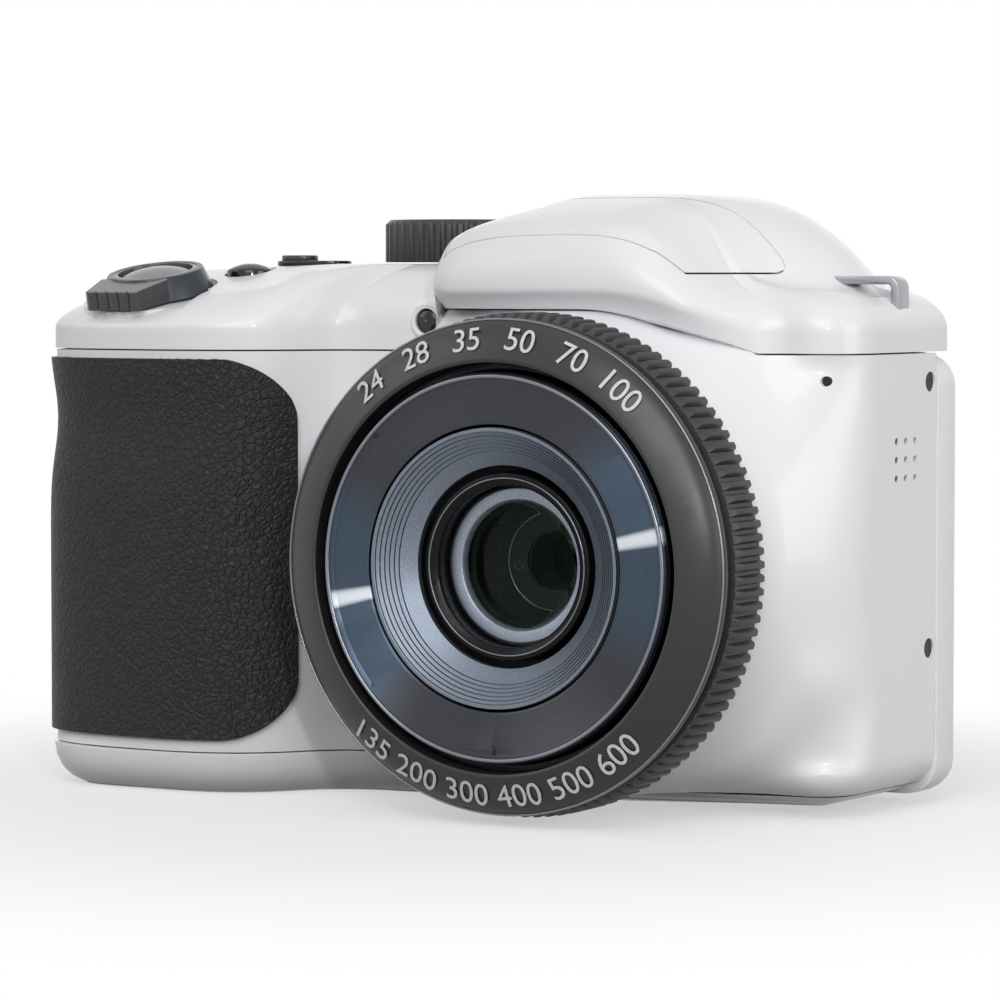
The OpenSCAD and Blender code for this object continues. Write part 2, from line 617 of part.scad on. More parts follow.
module barrel_trim() {
    color("dimgray") {
        turned([[nose_r + run_gap, -lens_y + 0.8], [nose_r + run_gap, -lens_y + 0.25], [nose_r + 0.7, -lens_y + 0.1],
            [barrel_r - 1.2, -lens_y + 0.35], [barrel_r - 0.7, -lens_y], [barrel_r - 0.2, -lens_y],
            [barrel_r, -lens_y + 0.3], [barrel_r, -lens_y + 0.8]]);
        rod_y(0, axis_z - barrel_r + 1.7, 0.4, -lens_y - 0.05, -lens_y + 0.6);
    }
}
module nose_barrel() {
    color("black") {
        ring_y(nose_r, nose_r - 1, -lens_y + 0.6, -lens_y + nose_len);
        ring_y(nose_r - 0.5, cell_lip + 0.1, -lens_y + 9, -lens_y + 10.2);
    }
}
module ribbed_baffle() {
    step = 0.52;
    a = [nose_r - 0.1, -lens_y + 0.1];
    b = [cell_lip + 0.9, -lens_y + 3.4];
    rim = a[0] - 1.1;
    slope = (b[1] - a[1]) / (rim - b[0]);
    ribs = [for (i = [0 : 5]) let (r = rim - 0.1 - i * step, y = a[1] + (rim - r) * slope)
        each [[r, y - 0.05], [r - step * 0.5, y - 0.05], [r - step * 0.5, y + 0.3], [r - step, y + 0.3]]];
    color("black") turned(concat([[a[0], a[1] + 0.4], a, [rim, a[1]]], ribs,
        [b, [b[0], b[1] + 0.8], [rim, a[1] + 1.4], [rim, a[1] + 0.4]]));
}
module lens_cell() {
    color("black") turned([[cell_lip, cell_y], [cell_lip - 0.6, cell_y - 0.1], [cell_lip - 1.5, cell_y + 0.4],
        [glass_r + 2.1, glass_y + 0.1], [glass_r + 2.1, glass_y + 6.4], [glass_r + 1, glass_y + 6.4],
        [glass_r + 1, glass_y + 7.2], [cell_lip, glass_y + 7.2]]);
}
module retaining_ring() {
    color("gray") turned([[glass_r, glass_y + 0.5], [glass_r + 0.3, glass_y - 0.1], [glass_r + 1.6, glass_y - 0.3],
        [glass_r + 2.05, glass_y + 0.1], [glass_r + 2.05, glass_y + 1], [glass_r, glass_y + 1]]);
}
module front_glass() {
    cap = 26;
    r = glass_r + 1.9;
    color("lightblue") intersection() {
        ring_y(r, 0, glass_y - 2, glass_y + 6.3);
        translate([0, glass_y + 1.1 + sqrt(cap * cap - glass_r * glass_r), axis_z]) rotate([90, 0, 0]) sphere(cap, $fn = 96);
        union() {
            ring_y(r, 0, glass_y + 1.1, glass_y + 6.3);
            ring_y(glass_r - 0.05, 0, glass_y - 1, glass_y + 1.2);
        }
    }
}
module iris_unit() {
    color("black") difference() {
        ring_y(nose_r - 1.2, 3, -lens_y + 16, -lens_y + 20);
        ring_y(nose_r - 4, 5, -lens_y + 15, -lens_y + 16.6);
    }
}
rod_at = [[-11.4, axis_z + 3], [11.4, axis_z - 3]];
carriage_y = -9.5;
module focus_carriage() {
    color("black") difference() {
        union() {
            ring_y(9, 6.1, carriage_y, carriage_y + 4.5);
            for (p = rod_at) hull() {
                rod_y(p[0], p[1], 2, carriage_y, carriage_y + 4.5);
                rod_y(p[0] * 0.66, mix(axis_z, p[1], 0.66), 2, carriage_y, carriage_y + 4.5);
            }
        }
        ring_y(6.1, 0, carriage_y - 1, carriage_y + 9);
        for (p = rod_at) rod_y(p[0], p[1], 0.75 + 0.08, -far, far);
    }
}
module focus_glass() {
    color("lightblue") turned([[0, carriage_y + 0.4], [3, carriage_y + 0.7], [6, carriage_y + 1.6],
        [6, carriage_y + 3], [3, carriage_y + 3.8], [0, carriage_y + 4.1]]);
}
module guide_rods() {
    color("silver") for (p = rod_at) rod_y(p[0], p[1], 0.75, -14.5, lens_back + 1);
}
motor_at = [-29.5, axis_z + 7.8];
module zoom_motor() {
    color("silver") {
        rod_y(motor_at[0], motor_at[1], 3.2, -10.5, -1.6);
        rod_y(motor_at[0], motor_at[1], 4, -1.6, chassis_y - seat_gap);
        rod_y(motor_at[0], motor_at[1], 0.6, -12.2, -10);
    }
}
module image_sensor() {
    color("darkslategray") drawn_y(lens_back + 1.25, lens_back + 2.2) rounded([-5.5, axis_z - 5], [5.5, axis_z + 5], 0.4);
}
module sensor_board() {
    color("green") drawn_y(lens_back + 2.25, lens_back + 3.05) rounded([-11, axis_z - 9], [11, axis_z + 9], 1);
}
flash_mid = -1.75;
module flash_head() {
    drawn_x(flash_mid - 10.2, flash_mid + 10.2) polygon([[-20, hump_z - 6], [-9.2, hump_z - 3], [-9.2, lip_z + 1],
        [-15, lip_z + 0.6], [-20, lip_z + 5.6]]);
}
module flash_face() {
    translate([flash_mid, -16.8, lip_z + 3.8]) rotate([45, 0, 0]) children();
}
module flash_cover() {
    color("white") difference() {
        union() {
            intersection() {
                difference() {
                    top_outer();
                    top_inner();
                }
                flash_room(0);
            }
            flash_head();
            drawn_x(-5.5, 5.5) {
                translate(pivot) circle(knuckle_r);
                translate([pivot[0] - 3, pivot[1] - knuckle_r]) square([3, knuckle_r]);
            }
        }
        box([-2.8, pivot[0] - knuckle_r - 0.3, pivot[1] - 3], [2.8, 0, hump_z + 1]);
        flash_face() translate([-8.6, -10, -3.1]) cube([17.2, 12.9, 6.2]);
        drawn_x(-7, 7) translate(pivot) circle(pin_of_flash + 0.05);
    }
}
pin_of_flash = 0.8;
module flash_bracket() {
    color("silver") drawn_x(-2.5, 2.5) difference() {
        union() {
            translate(pivot) circle(knuckle_r);
            translate([pivot[0], pivot[1] - knuckle_r]) square([flash_rear + 0.95 - pivot[0], knuckle_r - 0.2]);
        }
        translate(pivot) circle(pin_of_flash);
    }
}
module flash_window() {
    color("lightblue") flash_face() translate([-8.5, -1, -3]) cube([17, 1, 6]);
}
module flash_reflector() {
    color("silver") flash_face() translate([-8.4, 0.1, 0]) rotate([90, 0, 90]) linear_extrude(16.8) difference() {
        polygon([[0, -2.9], [0, 2.9], [2.6, 1.5], [2.6, -1.5]]);
        polygon([[-0.1, -2.6], [-0.1, 2.6], [2.3, 1.3], [2.3, -1.3]]);
    }
}
module flash_tube() {
    color("white") flash_face() translate([-8.4, 1.4, 0]) rotate([0, 90, 0]) cylinder(r = 0.7, h = 16.8);
}
module flash_pin() {
    color("silver") drawn_x(-5.4, 5.4) translate(pivot) circle(pin_of_flash);
}
module shutter_button() {
    color("gray") shutter_frame() {
        translate([0, 0, 1]) domed(shutter_r, 1.7, 0.9);
        translate([0, 0, -2.9]) cylinder(r = 1.6, h = 4.3);
    }
}
module zoom_lever() {
    color("dimgray") shutter_frame() difference() {
        union() {
            translate([0, 0, 0.3]) cylinder(r1 = lever_r, r2 = lever_r - 1, h = 2.9);
            difference() {
                translate([-4.2, -lever_r - 3.2, 0.3]) cube([8.4, lever_r, 2.6]);
                for (x = [-3.2 : 1.6 : 3.2]) translate([x, -lever_r - 3.2, 0]) cylinder(r = 0.45, h = 4, $fn = 24);
            }
        }
        translate([0, 0, -1]) cylinder(r = shutter_r + key_gap, h = 9);
    }
}
module domed(r, h, top) {
    cap = (r * r + top * top) / (2 * top);
    cylinder(r = r, h = h);
    intersection() {
        translate([0, 0, h + top - cap]) sphere(cap, $fn = 64);
        translate([0, 0, h - 0.05]) cylinder(r = r, h = top + 1);
    }
}
module burst_button() {
    color("black") translate([burst_at[0], burst_at[1], board_z + 2.2])
        domed(key_r, deck_z - 1 - board_z - 2.2, 0.9);
}
module power_plate() {
    color("black") translate([power_at[0], power_at[1], deck_z - 0.6 + seat_gap]) linear_extrude(0.7) difference() {
        pill(10.2, 5.2);
        translate([-2.2, 0]) pill(5.4, 4.2);
    }
}
module power_button() {
    color("dimgray") translate([power_at[0] - 2.2, power_at[1], 0]) {
        translate([0, 0, deck_z + 0.1]) linear_extrude(0.8) pill(4.8, 3.6);
        translate([0, 0, board_z + 2]) cylinder(r = 1.2, h = deck_z - board_z - 1.6);
    }
}
module mode_dial() {
    flutes = 40;
    color("dimgray") translate([dial_at[0], dial_at[1], deck_z]) {
        intersection() {
            linear_extrude(dial_h) difference() {
                circle(dial_r, $fn = 128);
                for (i = [0 : flutes - 1]) rotate(i * 360 / flutes) translate([dial_r + 0.15, 0]) circle(0.45, $fn = 16);
            }
            cylinder(r1 = dial_r + dial_h - 0.6, r2 = dial_r - 0.6, h = dial_h);
        }
        translate([0, 0, board_z + 1.4 - deck_z]) cylinder(r = spindle_r, h = deck_z - board_z - 1);
    }
}
module switch_board() {
    color("green") {
        translate([0, 0, board_z]) linear_extrude(1) difference() {
            union() {
                rounded([-68, -21], [-43.5, 5], 2);
                rounded([-46, -12], [-21, 5], 2);
            }
            translate([cell_x, 0]) circle(0.5);
        }
        translate([dial_at[0], dial_at[1], board_z + 0.9]) linear_extrude(2.2) difference() {
            circle(spindle_r + 1);
            circle(spindle_r + 0.05);
        }
        translate([burst_at[0], burst_at[1], board_z + 1]) cylinder(r = 2.2, h = 0.5);
        translate([power_at[0] - 2.2, power_at[1], board_z + 1]) cylinder(r = 1.2, h = 0.3);
        translate([shutter_at[0], shutter_at[1] + 1, board_z + 1]) cylinder(r = 1.4, h = 0.2);
    }
}
module rear_key(p, r, proud) {
    translate([p[0], rear_y + proud, p[1]]) rotate([90, 0, 0]) {
        difference() {
            cylinder(r = r, h = rear_y + proud - key_back);
            translate([0, 0, -r * 8.05]) sphere(r * 8, $fn = 96);
        }
        translate([0, 0, rear_y + proud - skin_y + 0.3]) cylinder(r = r + 0.8, h = skin_y - key_back - 0.3);
    }
}
module record_button() {
    color("gray") rear_key(record_at, key_r + 0.7, 0.5);
}
module menu_button() {
    color("gray") rear_key(menu_at, key_r, 0.6);
}
module play_button() {
    color("gray") rear_key(play_at, key_r, 0.6);
}
module delete_button() {
    color("gray") rear_key(delete_at, key_r, 0.6);
}
ok_r = 4;
module nav_pad() {
    color("gray") translate([pad_at[0], 0, pad_at[1]]) rotate([-90, 0, 0]) rotate_extrude($fn = 96)
        polygon([[ok_r + key_gap + 0.2, skin_y + 0.9], [ok_r + key_gap + 0.8, rear_y + 0.5], [pad_r - 1.2, rear_y + 0.9],
            [pad_r - 0.2, rear_y + 0.5], [pad_r - 0.1, skin_y - 0.4], [pad_r - 0.1, key_back + 0.4],
            [ok_r + key_gap + 1.2, key_back + 0.4], [ok_r + key_gap + 1.2, skin_y + 0.9]]);
}
module ok_button() {
    color("gray") translate([pad_at[0], rear_y + 0.7, pad_at[1]]) rotate([90, 0, 0]) {
        difference() {
            cylinder(r = ok_r, h = rear_y + 0.7 - key_back);
            translate([0, 0, -ok_r * 8.05]) sphere(ok_r * 8, $fn = 96);
        }
    }
}
module key_mat() {
    color("darkgray") difference() {
        union() {
            drawn_y(mat_y, mat_y + 0.9) rounded([-grip_x + wall + 2.6, 4.6], [screen_at[0] - screen_w / 2 - 0.8, 52], 2);
        }
        rod_y(-53, 5.6, 0.6, 0, far);
    }
}
module screen_window() {
    color("black") drawn_y(skin_y - 0.3, rear_y + 0.05)
        rounded([screen_at[0] - screen_w / 2, screen_at[1] - screen_h / 2], [screen_at[0] + screen_w / 2, screen_at[1] + screen_h / 2], 1.9);
}
module screen_module() {
    color("silver") drawn_y(skin_y - 3.6, skin_y - 0.4)
        rounded([screen_at[0] - screen_w / 2 + 0.8, screen_at[1] - screen_h / 2 + 0.6],
            [screen_at[0] + screen_w / 2 - 3.2, screen_at[1] + screen_h / 2 - 0.6], 1);
}
module main_board() {
    y = chassis_y + 1.1;
    color("green") {
        drawn_y(y, y + 1) rounded([-33, 6], [29, 51], 1);
        for (p = [[-10, 20, 12, 12], [8, 32, 9, 10], [-22, 36, 8, 6], [14, 12, 6, 8]])
            box([p[0], y + 0.9, p[1]], [p[0] + p[2], y + 1.9, p[1] + p[3]]);
    }
}
module speaker() {
    color("black") translate([side_x - wall - 4, speaker_at[0], speaker_at[1]]) rotate([0, 90, 0]) cylinder(r = 5.4, h = 3.2);
}
module microphone() {
    color("silver") rod_y(30, 52, 1.3, wall - front_y + 1.6, wall - front_y + 3.2);
}
module card_socket() {
    x = cell_x + holder_r + 0.3;
    color("silver") difference() {
        box([x, -20, holder_z], [x + 3.4, 6, holder_z + 29]);
        box([x + 0.5, -19.3, 0], [x + 2.8, 5.3, holder_z + 25.5]);
    }
}
module cells() {
    color("steelblue") for (i = [0, 1]) translate([cell_x, cell_ys[i], holder_z + 0.7]) {
        translate([0, 0, i == 0 ? 0 : 1]) cylinder(r = cell_r - 0.1, h = cell_len - 1);
        translate([0, 0, i == 0 ? cell_len - 1.1 : 0]) cylinder(r = 2.7, h = 1.1);
    }
}
module stadium(r) {
    for (y = cell_ys) translate([cell_x, y]) circle(r);
    translate([cell_x - r, cell_ys[0]]) square([2 * r, cell_ys[1] - cell_ys[0]]);
}
module cell_holder() {
    color("black") translate([0, 0, holder_z]) difference() {
        linear_extrude(seam_z - holder_z + 0.9) stadium(holder_r);
        translate([0, 0, -1]) linear_extrude(cell_len + 2.6) stadium(cell_r + 0.15);
    }
}
module cell_contacts() {
    color("gold") {
        for (y = cell_ys) translate([cell_x, y, holder_z + cell_len + 0.9]) cylinder(r = 4.5, h = 0.5);
        translate([0, 0, holder_z + 0.1]) linear_extrude(0.4) intersection() {
            stadium(5);
            translate([cell_x - 3, -far]) square([6, 2 * far]);
        }
    }
}
module battery_door() {
    color("white") difference() {
        intersection() {
            low_skin(0, floor_t);
            union() {
                translate([0, 0, -1]) linear_extrude(far) door_plan(0, hinge[0]);
                drawn_x(door_x[0], door_x[1]) translate(hinge) circle(hinge_r);
            }
        }
        hinge_bore(pin_r + 0.05);
        translate([latch_at[0], latch_at[1], 0.9]) linear_extrude(9) square([7, 9.4], center = true);
        translate([latch_at[0], latch_at[1], -1]) linear_extrude(9) rotate(90) pill(7.2, 3.6);
    }
}
module door_pin() {
    color("silver") drawn_x(door_x[0] - 0.7, door_x[1] + 2) translate(hinge) circle(pin_r);
}
module door_latch() {
    color("gray") translate([latch_at[0], latch_at[1] - 1, 0]) {
        translate([0, 0, 1]) linear_extrude(0.7) square([6.4, 5.6], center = true);
        translate([0, 0, 0.3]) linear_extrude(1) rotate(90) pill(4.4, 3);
    }
}

front_cover();
top_cover();
rear_cover();
bottom_cover();
grip_rubber();
chassis_plate();
tripod_bush();
strap_lugs();
case_screws();
lamp_window();
lens_bezel();
knurled_ring();
dust_seal();
fixed_barrel();
zoom_barrel();
barrel_trim();
nose_barrel();
ribbed_baffle();
lens_cell();
retaining_ring();
front_glass();
iris_unit();
focus_carriage();
focus_glass();
guide_rods();
zoom_motor();
image_sensor();
sensor_board();
flash_cover();
flash_window();
flash_reflector();
flash_tube();
flash_bracket();
flash_pin();
shutter_button();
zoom_lever();
burst_button();
power_plate();
power_button();
mode_dial();
switch_board();
record_button();
menu_button();
play_button();
delete_button();
nav_pad();
ok_button();
key_mat();
screen_window();
screen_module();
main_board();
speaker();
microphone();
card_socket();
cells();
cell_holder();
cell_contacts();
battery_door();
door_pin();
door_latch();
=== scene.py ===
"""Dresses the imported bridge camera: moulded casing, leather-grain grip, lens rings, controls and a studio stage."""

import json
import math

import bmesh
import bpy
import numpy as np
from bpy.props import FloatProperty, FloatVectorProperty, PointerProperty, StringProperty
from mathutils import Matrix, Vector

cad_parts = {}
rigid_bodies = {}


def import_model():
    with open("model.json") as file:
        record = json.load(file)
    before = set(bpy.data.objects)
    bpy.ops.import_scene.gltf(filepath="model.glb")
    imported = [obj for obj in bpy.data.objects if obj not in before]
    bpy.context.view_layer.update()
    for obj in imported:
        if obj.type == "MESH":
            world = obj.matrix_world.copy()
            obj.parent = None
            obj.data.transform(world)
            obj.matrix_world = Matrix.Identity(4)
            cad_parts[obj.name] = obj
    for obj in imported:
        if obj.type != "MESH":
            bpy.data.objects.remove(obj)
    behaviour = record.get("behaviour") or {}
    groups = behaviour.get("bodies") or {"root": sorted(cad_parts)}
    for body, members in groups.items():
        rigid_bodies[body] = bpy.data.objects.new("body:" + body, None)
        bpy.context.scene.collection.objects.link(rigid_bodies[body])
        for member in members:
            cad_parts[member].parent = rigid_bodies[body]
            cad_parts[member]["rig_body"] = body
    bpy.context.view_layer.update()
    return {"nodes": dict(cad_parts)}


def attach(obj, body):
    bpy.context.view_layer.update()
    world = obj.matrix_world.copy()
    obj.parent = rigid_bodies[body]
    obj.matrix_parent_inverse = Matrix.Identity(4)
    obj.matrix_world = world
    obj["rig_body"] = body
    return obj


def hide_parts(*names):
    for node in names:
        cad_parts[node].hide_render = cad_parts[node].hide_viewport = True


bl_info = {
    "name": "Bridge Camera Dressing",
    "version": (1, 0, 0),
    "blender": (4, 5, 0),
    "location": "View3D > Sidebar > Camera",
    "description": "Casing skins, grip, lens rings, controls and stage for the bridge camera",
    "category": "Object",
}

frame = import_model()
NODES = frame["nodes"]
MM = 0.001


def linear(code):
    """An sRGB hex colour as linear red, green, blue and alpha."""
    parts = [int(code[i : i + 2], 16) / 255 for i in (0, 2, 4)]
    return tuple(c / 12.92 if c <= 0.04045 else ((c + 0.055) / 1.055) ** 2.4 for c in parts) + (1.0,)


def length(name, value, note):
    """A size in metres, given here in millimetres."""
    return FloatProperty(name=name, description=note, default=value * MM, unit="LENGTH", precision=5)


def colour(name, code, note):
    return FloatVectorProperty(name=name, description=note, default=linear(code), size=4, min=0, max=1, subtype="COLOR")


class CasingProps(bpy.types.PropertyGroup):
    """Sizes and colour of the moulded casing, measured from the tripod socket and the optical axis."""

    side_x: length("Side", 35.9, "Optical axis to the plain side")
    grip_x: length("Grip side", 72.9, "Optical axis to the grip side")
    rear_y: length("Rear", 14.2, "Tripod socket to the rear face")
    front_y: length("Front", 15.0, "Tripod socket to the front face")
    grip_y: length("Grip front", 28.0, "Tripod socket to the front of the grip")
    seam_z: length("Seam", 54.8, "Height of the joint under the top cover")
    tray_z: length("Tray", 5.2, "Height of the joint over the bottom cover")
    base_round: length("Base rounding", 5.0, "Rounding of the bottom edges at the grip")
    side_round: length("Side rounding", 8.0, "Rounding of the bottom edges beside the lens")
    wall: length("Wall", 2.2, "Thickness of the moulded walls")
    waist: length("Waist", 1.0, "Depth of the finger waist in the grip")
    seam_gap: length("Seam gap", 0.2, "Gap along the joints of the casing")
    hump_z: length("Hump", 73.8, "Height of the hump")
    deck_z: length("Deck", 65.5, "Height of the deck beside the hump")
    visor_y: length("Visor", 24.5, "Tripod socket to the visor over the lens")
    lip_z: length("Lip", 60.6, "Height of the lip under the visor")
    white: colour("Casing", "EBECEE", "Colour of the casing")


class LensProps(bpy.types.PropertyGroup):
    """Sizes and colours of the lens rings."""

    axis_z: length("Axis", 30.2, "Height of the optical axis")
    front: length("Front", 37.5, "Tripod socket to the front of the lens at rest")
    knurl_r: length("Knurl", 29.4, "Radius over the knurled ring")
    barrel_r: length("Barrel", 22.6, "Radius of the zoom barrel")
    nose_r: length("Nose", 16.3, "Radius of the nose barrel")
    numeral: length("Numeral", 2.9, "Height of the numerals on the bezel")
    bezel: colour("Bezel", "242426", "Colour of the bezel")
    knurl: colour("Knurled ring", "2E2E30", "Colour of the knurled ring")
    spun: colour("Spun ring", "46474C", "Colour of the spun metal ring")
    baffle: colour("Baffle", "757D89", "Colour of the ribbed baffle")


class GripProps(bpy.types.PropertyGroup):
    """The rubber on the grip."""

    proud: length("Thickness", 0.75, "How far the rubber stands over the casing")
    corner: length("Corner", 7.5, "Radius of the corners beside the lens")
    edge: length("Edge", -37.2, "Edge beside the lens, from the optical axis")
    pebble: length("Pebble", 0.92, "Width of one pebble of the grain")
    black: colour("Rubber", "1D1D1F", "Colour of the rubber")


class StageProps(bpy.types.PropertyGroup):
    """Camera and light."""

    azimuth: FloatProperty(
        name="Azimuth", description="Turn of the camera towards the plain side",
        default=math.radians(29.6), subtype="ANGLE",
    )
    elevation: FloatProperty(
        name="Elevation", description="Height of the camera", default=math.radians(3.1), subtype="ANGLE",
    )
    focal: FloatProperty(name="Focal length", description="Focal length on a 36 mm sensor", default=151.2, min=10)
    place: FloatVectorProperty(
        name="Place", description="Where the camera stands", default=(0.2387, -0.4556, 0.0642),
        subtype="TRANSLATION", unit="LENGTH",
    )
    floor: colour("Floor", "FAFAFA", "Colour of the floor")


# Plane geometry of the casing, in millimetres.
def clamp(t):
    return max(0.0, min(1.0, t))


def ease(t):
    c = clamp(t)
    return c * c * (3 - 2 * c)


def mix(a, b, t):
    return a + (b - a) * t


def steps(n):
    return [i / (n - 1) for i in range(n)]


def bezier(a, b, c, d, n):
    """n points of a cubic curve, without its end."""
    a, b, c, d = (np.array(p, float) for p in (a, b, c, d))
    shares = [(1 - i / n, i / n) for i in range(n)]
    return [tuple(a * s**3 + b * 3 * s * s * t + c * 3 * s * t * t + d * t**3) for s, t in shares]


def arc(centre, r, start, end, n):
    """n points of an arc between two angles in degrees, without its end."""
    turns = [math.radians(mix(start, end, i / n)) for i in range(n)]
    return [(centre[0] + r * math.cos(a), centre[1] + r * math.sin(a)) for a in turns]


def filled(points, step):
    """A closed outline with points added so that none are further apart than step."""
    out = []
    for a, b in zip(points, points[1:] + points[:1]):
        n = max(1, math.ceil(math.dist(a, b) / step))
        out += [(mix(a[0], b[0], i / n), mix(a[1], b[1], i / n)) for i in range(n)]
    return out


def spread(points, shares):
    """Points at these shares of a line's length."""
    pts = np.array(points, float)
    run = np.concatenate([[0], np.cumsum(np.hypot(*np.diff(pts, axis=0).T))])
    at = np.array(shares) * run[-1]
    return list(zip(np.interp(at, run, pts[:, 0]), np.interp(at, run, pts[:, 1])))


def side_normals(points, turn):
    """Unit normals of an open line, to its left for turn 1 and to its right for -1."""
    t = np.gradient(np.array(points, float), axis=0)
    t /= np.linalg.norm(t, axis=1)[:, None]
    return np.stack([-t[:, 1], t[:, 0]], axis=1) * turn


class Casing:
    """Plan lines and sections of the moulded casing, in millimetres."""

    fine = 4  # points for each unit of a plan curve
    joint_y = 7.0  # joint with the rear cover
    corner_r = 7.0  # front corner of the plain side
    side_draft = 1.0  # lean of the plain side
    grip_draft = 0.8  # lean of the grip side
    shoulder_z = 2.6  # upright edge of the top cover
    rear_r = 5.0  # rear corners
    waist_z = 46.0  # height of the finger waist
    hub = (-24.0, 2.0)  # point of the deck that the rows of the top cover close on
    free_x = 45.0  # end of the blend between the flare and the grip
    flare_wide = 8.2  # width of the flare round the lens
    lip_drop = 0.7  # how far the visor hangs below its lip
    collar_step = 1.0  # lens collar inside of the knurled ring
    foot_x = 8.1  # start of the front cover below its joint with the bottom cover
    base_z = 1.8  # lower edge of the front cover
    front_wall = 1.8  # thickness of the front cover
    bezel_lead = 0.2  # bezel in front of the lens at rest
    bezel_deep = 5.45  # depth of the bezel
    knurl_deep = 6.7  # depth of the knurled ring

    def __init__(self, casing, lens):
        for key in casing.bl_rna.properties.keys():
            value = getattr(casing, key)
            if isinstance(value, float):
                setattr(self, key, value / MM)
        self.axis_z = lens.axis_z / MM
        self.collar_r = lens.knurl_r / MM - self.collar_step
        self.knurl_back = -lens.front / MM - self.bezel_lead + self.bezel_deep + self.knurl_deep
        k, f, g, y = self.fine, self.front_y, self.grip_x, -self.grip_y
        self.grip_line = (
            bezier((-27, -f), (-33, -f), (-34.5, -f - 2), (-37.5, -f - 6), 6 * k)
            + bezier((-37.5, -f - 6), (-40.5, -f - 10), (-45, y), (-53, y), 7 * k)
            + bezier((-53, y), (-g + 3.5, y), (-g, y + 3.5), (-g, y + 11.5), 10 * k)
            + [(-g, y + 11.5)]
        )
        r, rim = self.collar_r, (self.collar_r + self.flare_wide, -f)
        flare = bezier((r, self.knurl_back), (r + 0.9, self.knurl_back + 4.6), (r + 3.4, -f - 1.9), rim, 80)
        self.flare = np.array(flare + [rim])
        self.depths = np.array([(-x, -y) for x, y in self.grip_line])
        self.top_line = self.make_top_line()
        self.spokes = self.make_spokes()

    def make_top_line(self):
        """Outline of the top cover: plain side, visor, grip and rear."""
        k, f, v, s = self.fine, self.front_y, self.visor_y, self.side_x
        g = -self.grip_x + self.grip_draft
        rear = self.rear_y - self.rear_r
        edge = s - self.side_draft - self.corner_r
        points = (
            arc((s - self.rear_r, rear), self.rear_r, 90, 0, 4 * k)
            + [(s, rear)]
            + arc((edge, self.corner_r - f), self.corner_r, 0, -90, 7 * k)
            + bezier((edge, -f), (22.5, -f), (20.5, -f - 6), (15.5, -v + 1.4), 7 * k)
            + bezier((15.5, -v + 1.4), (8, -v - 0.5), (-7, -v - 0.5), (-14, -v + 1.4), 7 * k)
            + bezier((-14, -v + 1.4), (-18.8, -v + 2.8), (-18.2, -f - 2.4), (-20.8, -f), 7 * k)
            + [(-20.8, -f)]
            + self.grip_line
            + [(g, rear - 2)]
            + arc((g + self.rear_r, rear), self.rear_r, 180, 90, 4 * k)
            + [(g + self.rear_r, self.rear_y)]
        )
        return filled(points, 1.3)

    def make_spokes(self):
        """How far each outline point moves along its spoke to the hub for 1 mm of inset."""
        pts = np.array(self.top_line)
        run = np.roll(pts, -1, axis=0) - np.roll(pts, 1, axis=0)
        normal = np.stack([-run[:, 1], run[:, 0]], axis=1) / np.linalg.norm(run, axis=1)[:, None]
        ray = pts - np.array(self.hub)
        ray /= np.linalg.norm(ray, axis=1)[:, None]
        return ray / np.maximum(0.45, np.sum(normal * ray, axis=1))[:, None]

    def visor_share(self, p):
        """1 where an outline point belongs to the visor, easing to 0 at its ends."""
        if p[1] > 0.5 - self.front_y:
            return 0.0
        return 1 - clamp((p[0] - 6) / 17.6) ** 2 if p[0] > 0 else clamp((p[0] + 20.4) / 2)

    def lip_at(self, x):
        """Height of the visor's lower edge."""
        return mix(self.seam_z, self.lip_z - self.lip_drop, self.visor_share((x, -self.visor_y)))

    def deck(self, x, y):
        """Height of the deck, which falls to the grip's front and to the plain side."""
        fall = 0.22 * max(0, -6 - y) * ease((-30 - x) / 14) + 0.04 * max(0, -40 - x)
        return self.deck_z - fall - 3.2 * ease((x - 10) / 17)

    def hump(self, x, y):
        """Height of the hump over the lens."""
        crown = self.hump_z - 4.2 * (max(0, -2 - y) / 20) ** 1.5 - 3 * (max(0, y - 5) / 9) ** 2
        half = mix(20, 15, ease((y + 18) / 8)) if x < 0 else mix(15.5, 22.8, ease((y + 16) / 20))
        return crown - 10.6 * max(0, abs(x) / half - 0.2) ** 3

    def roof(self, x, y):
        """Height of the deck and the hump, run into one another."""
        a, b = self.deck(x, y), self.hump(x, y)
        return (a + b + math.sqrt((a - b) ** 2 + 1.6**2)) / 2 - 0.2

    def shoulder(self, p, share):
        """How far the rounding of the top edge reaches in."""
        wide = mix(8.5, 7.4, ease((p[0] + 20) / 40))
        rear = mix(4.6, 7.4, ease((p[0] - 20) / 10))
        return mix(mix(wide, rear, ease((p[1] + 2) / 8)), 4.6, share)

    def top_rows(self, wall):
        """Rings of the top cover from its lower edge to the middle of the deck, wall inside of its surface."""
        line = np.array(self.top_line)
        shares = [self.visor_share(p) for p in self.top_line]
        round_to = [self.shoulder(p, s) for p, s in zip(self.top_line, shares)]
        foot = [mix(self.seam_z, self.lip_z - self.lip_drop, s) for s in shares]
        rows = []
        for inset, rise in ((2.6, 0.0), (1.2, 0.9), (0.25, 1.7), (0.0, 2.1)):
            q = line - self.spokes * (wall + inset * np.array(shares))[:, None]
            rows.append([(x, y, z + rise) for (x, y), z in zip(q, foot)])
        for a in np.radians(np.linspace(0, 90, 15)):
            q = line - self.spokes * (wall + (np.array(round_to) - wall) * (1 - math.cos(a)))[:, None]
            up = math.sin(a)
            rows.append([
                (x, y, mix(z + self.shoulder_z, self.roof(x, y) - wall, up)) for (x, y), z in zip(q, foot)
            ])
        inner = line - self.spokes * np.array(round_to)[:, None]
        for f in np.linspace(1, 0, 34)[1:]:
            q = np.array(self.hub) + (inner - np.array(self.hub)) * f
            rows.append([(x, y, self.roof(x, y) - wall) for x, y in q])
        return rows

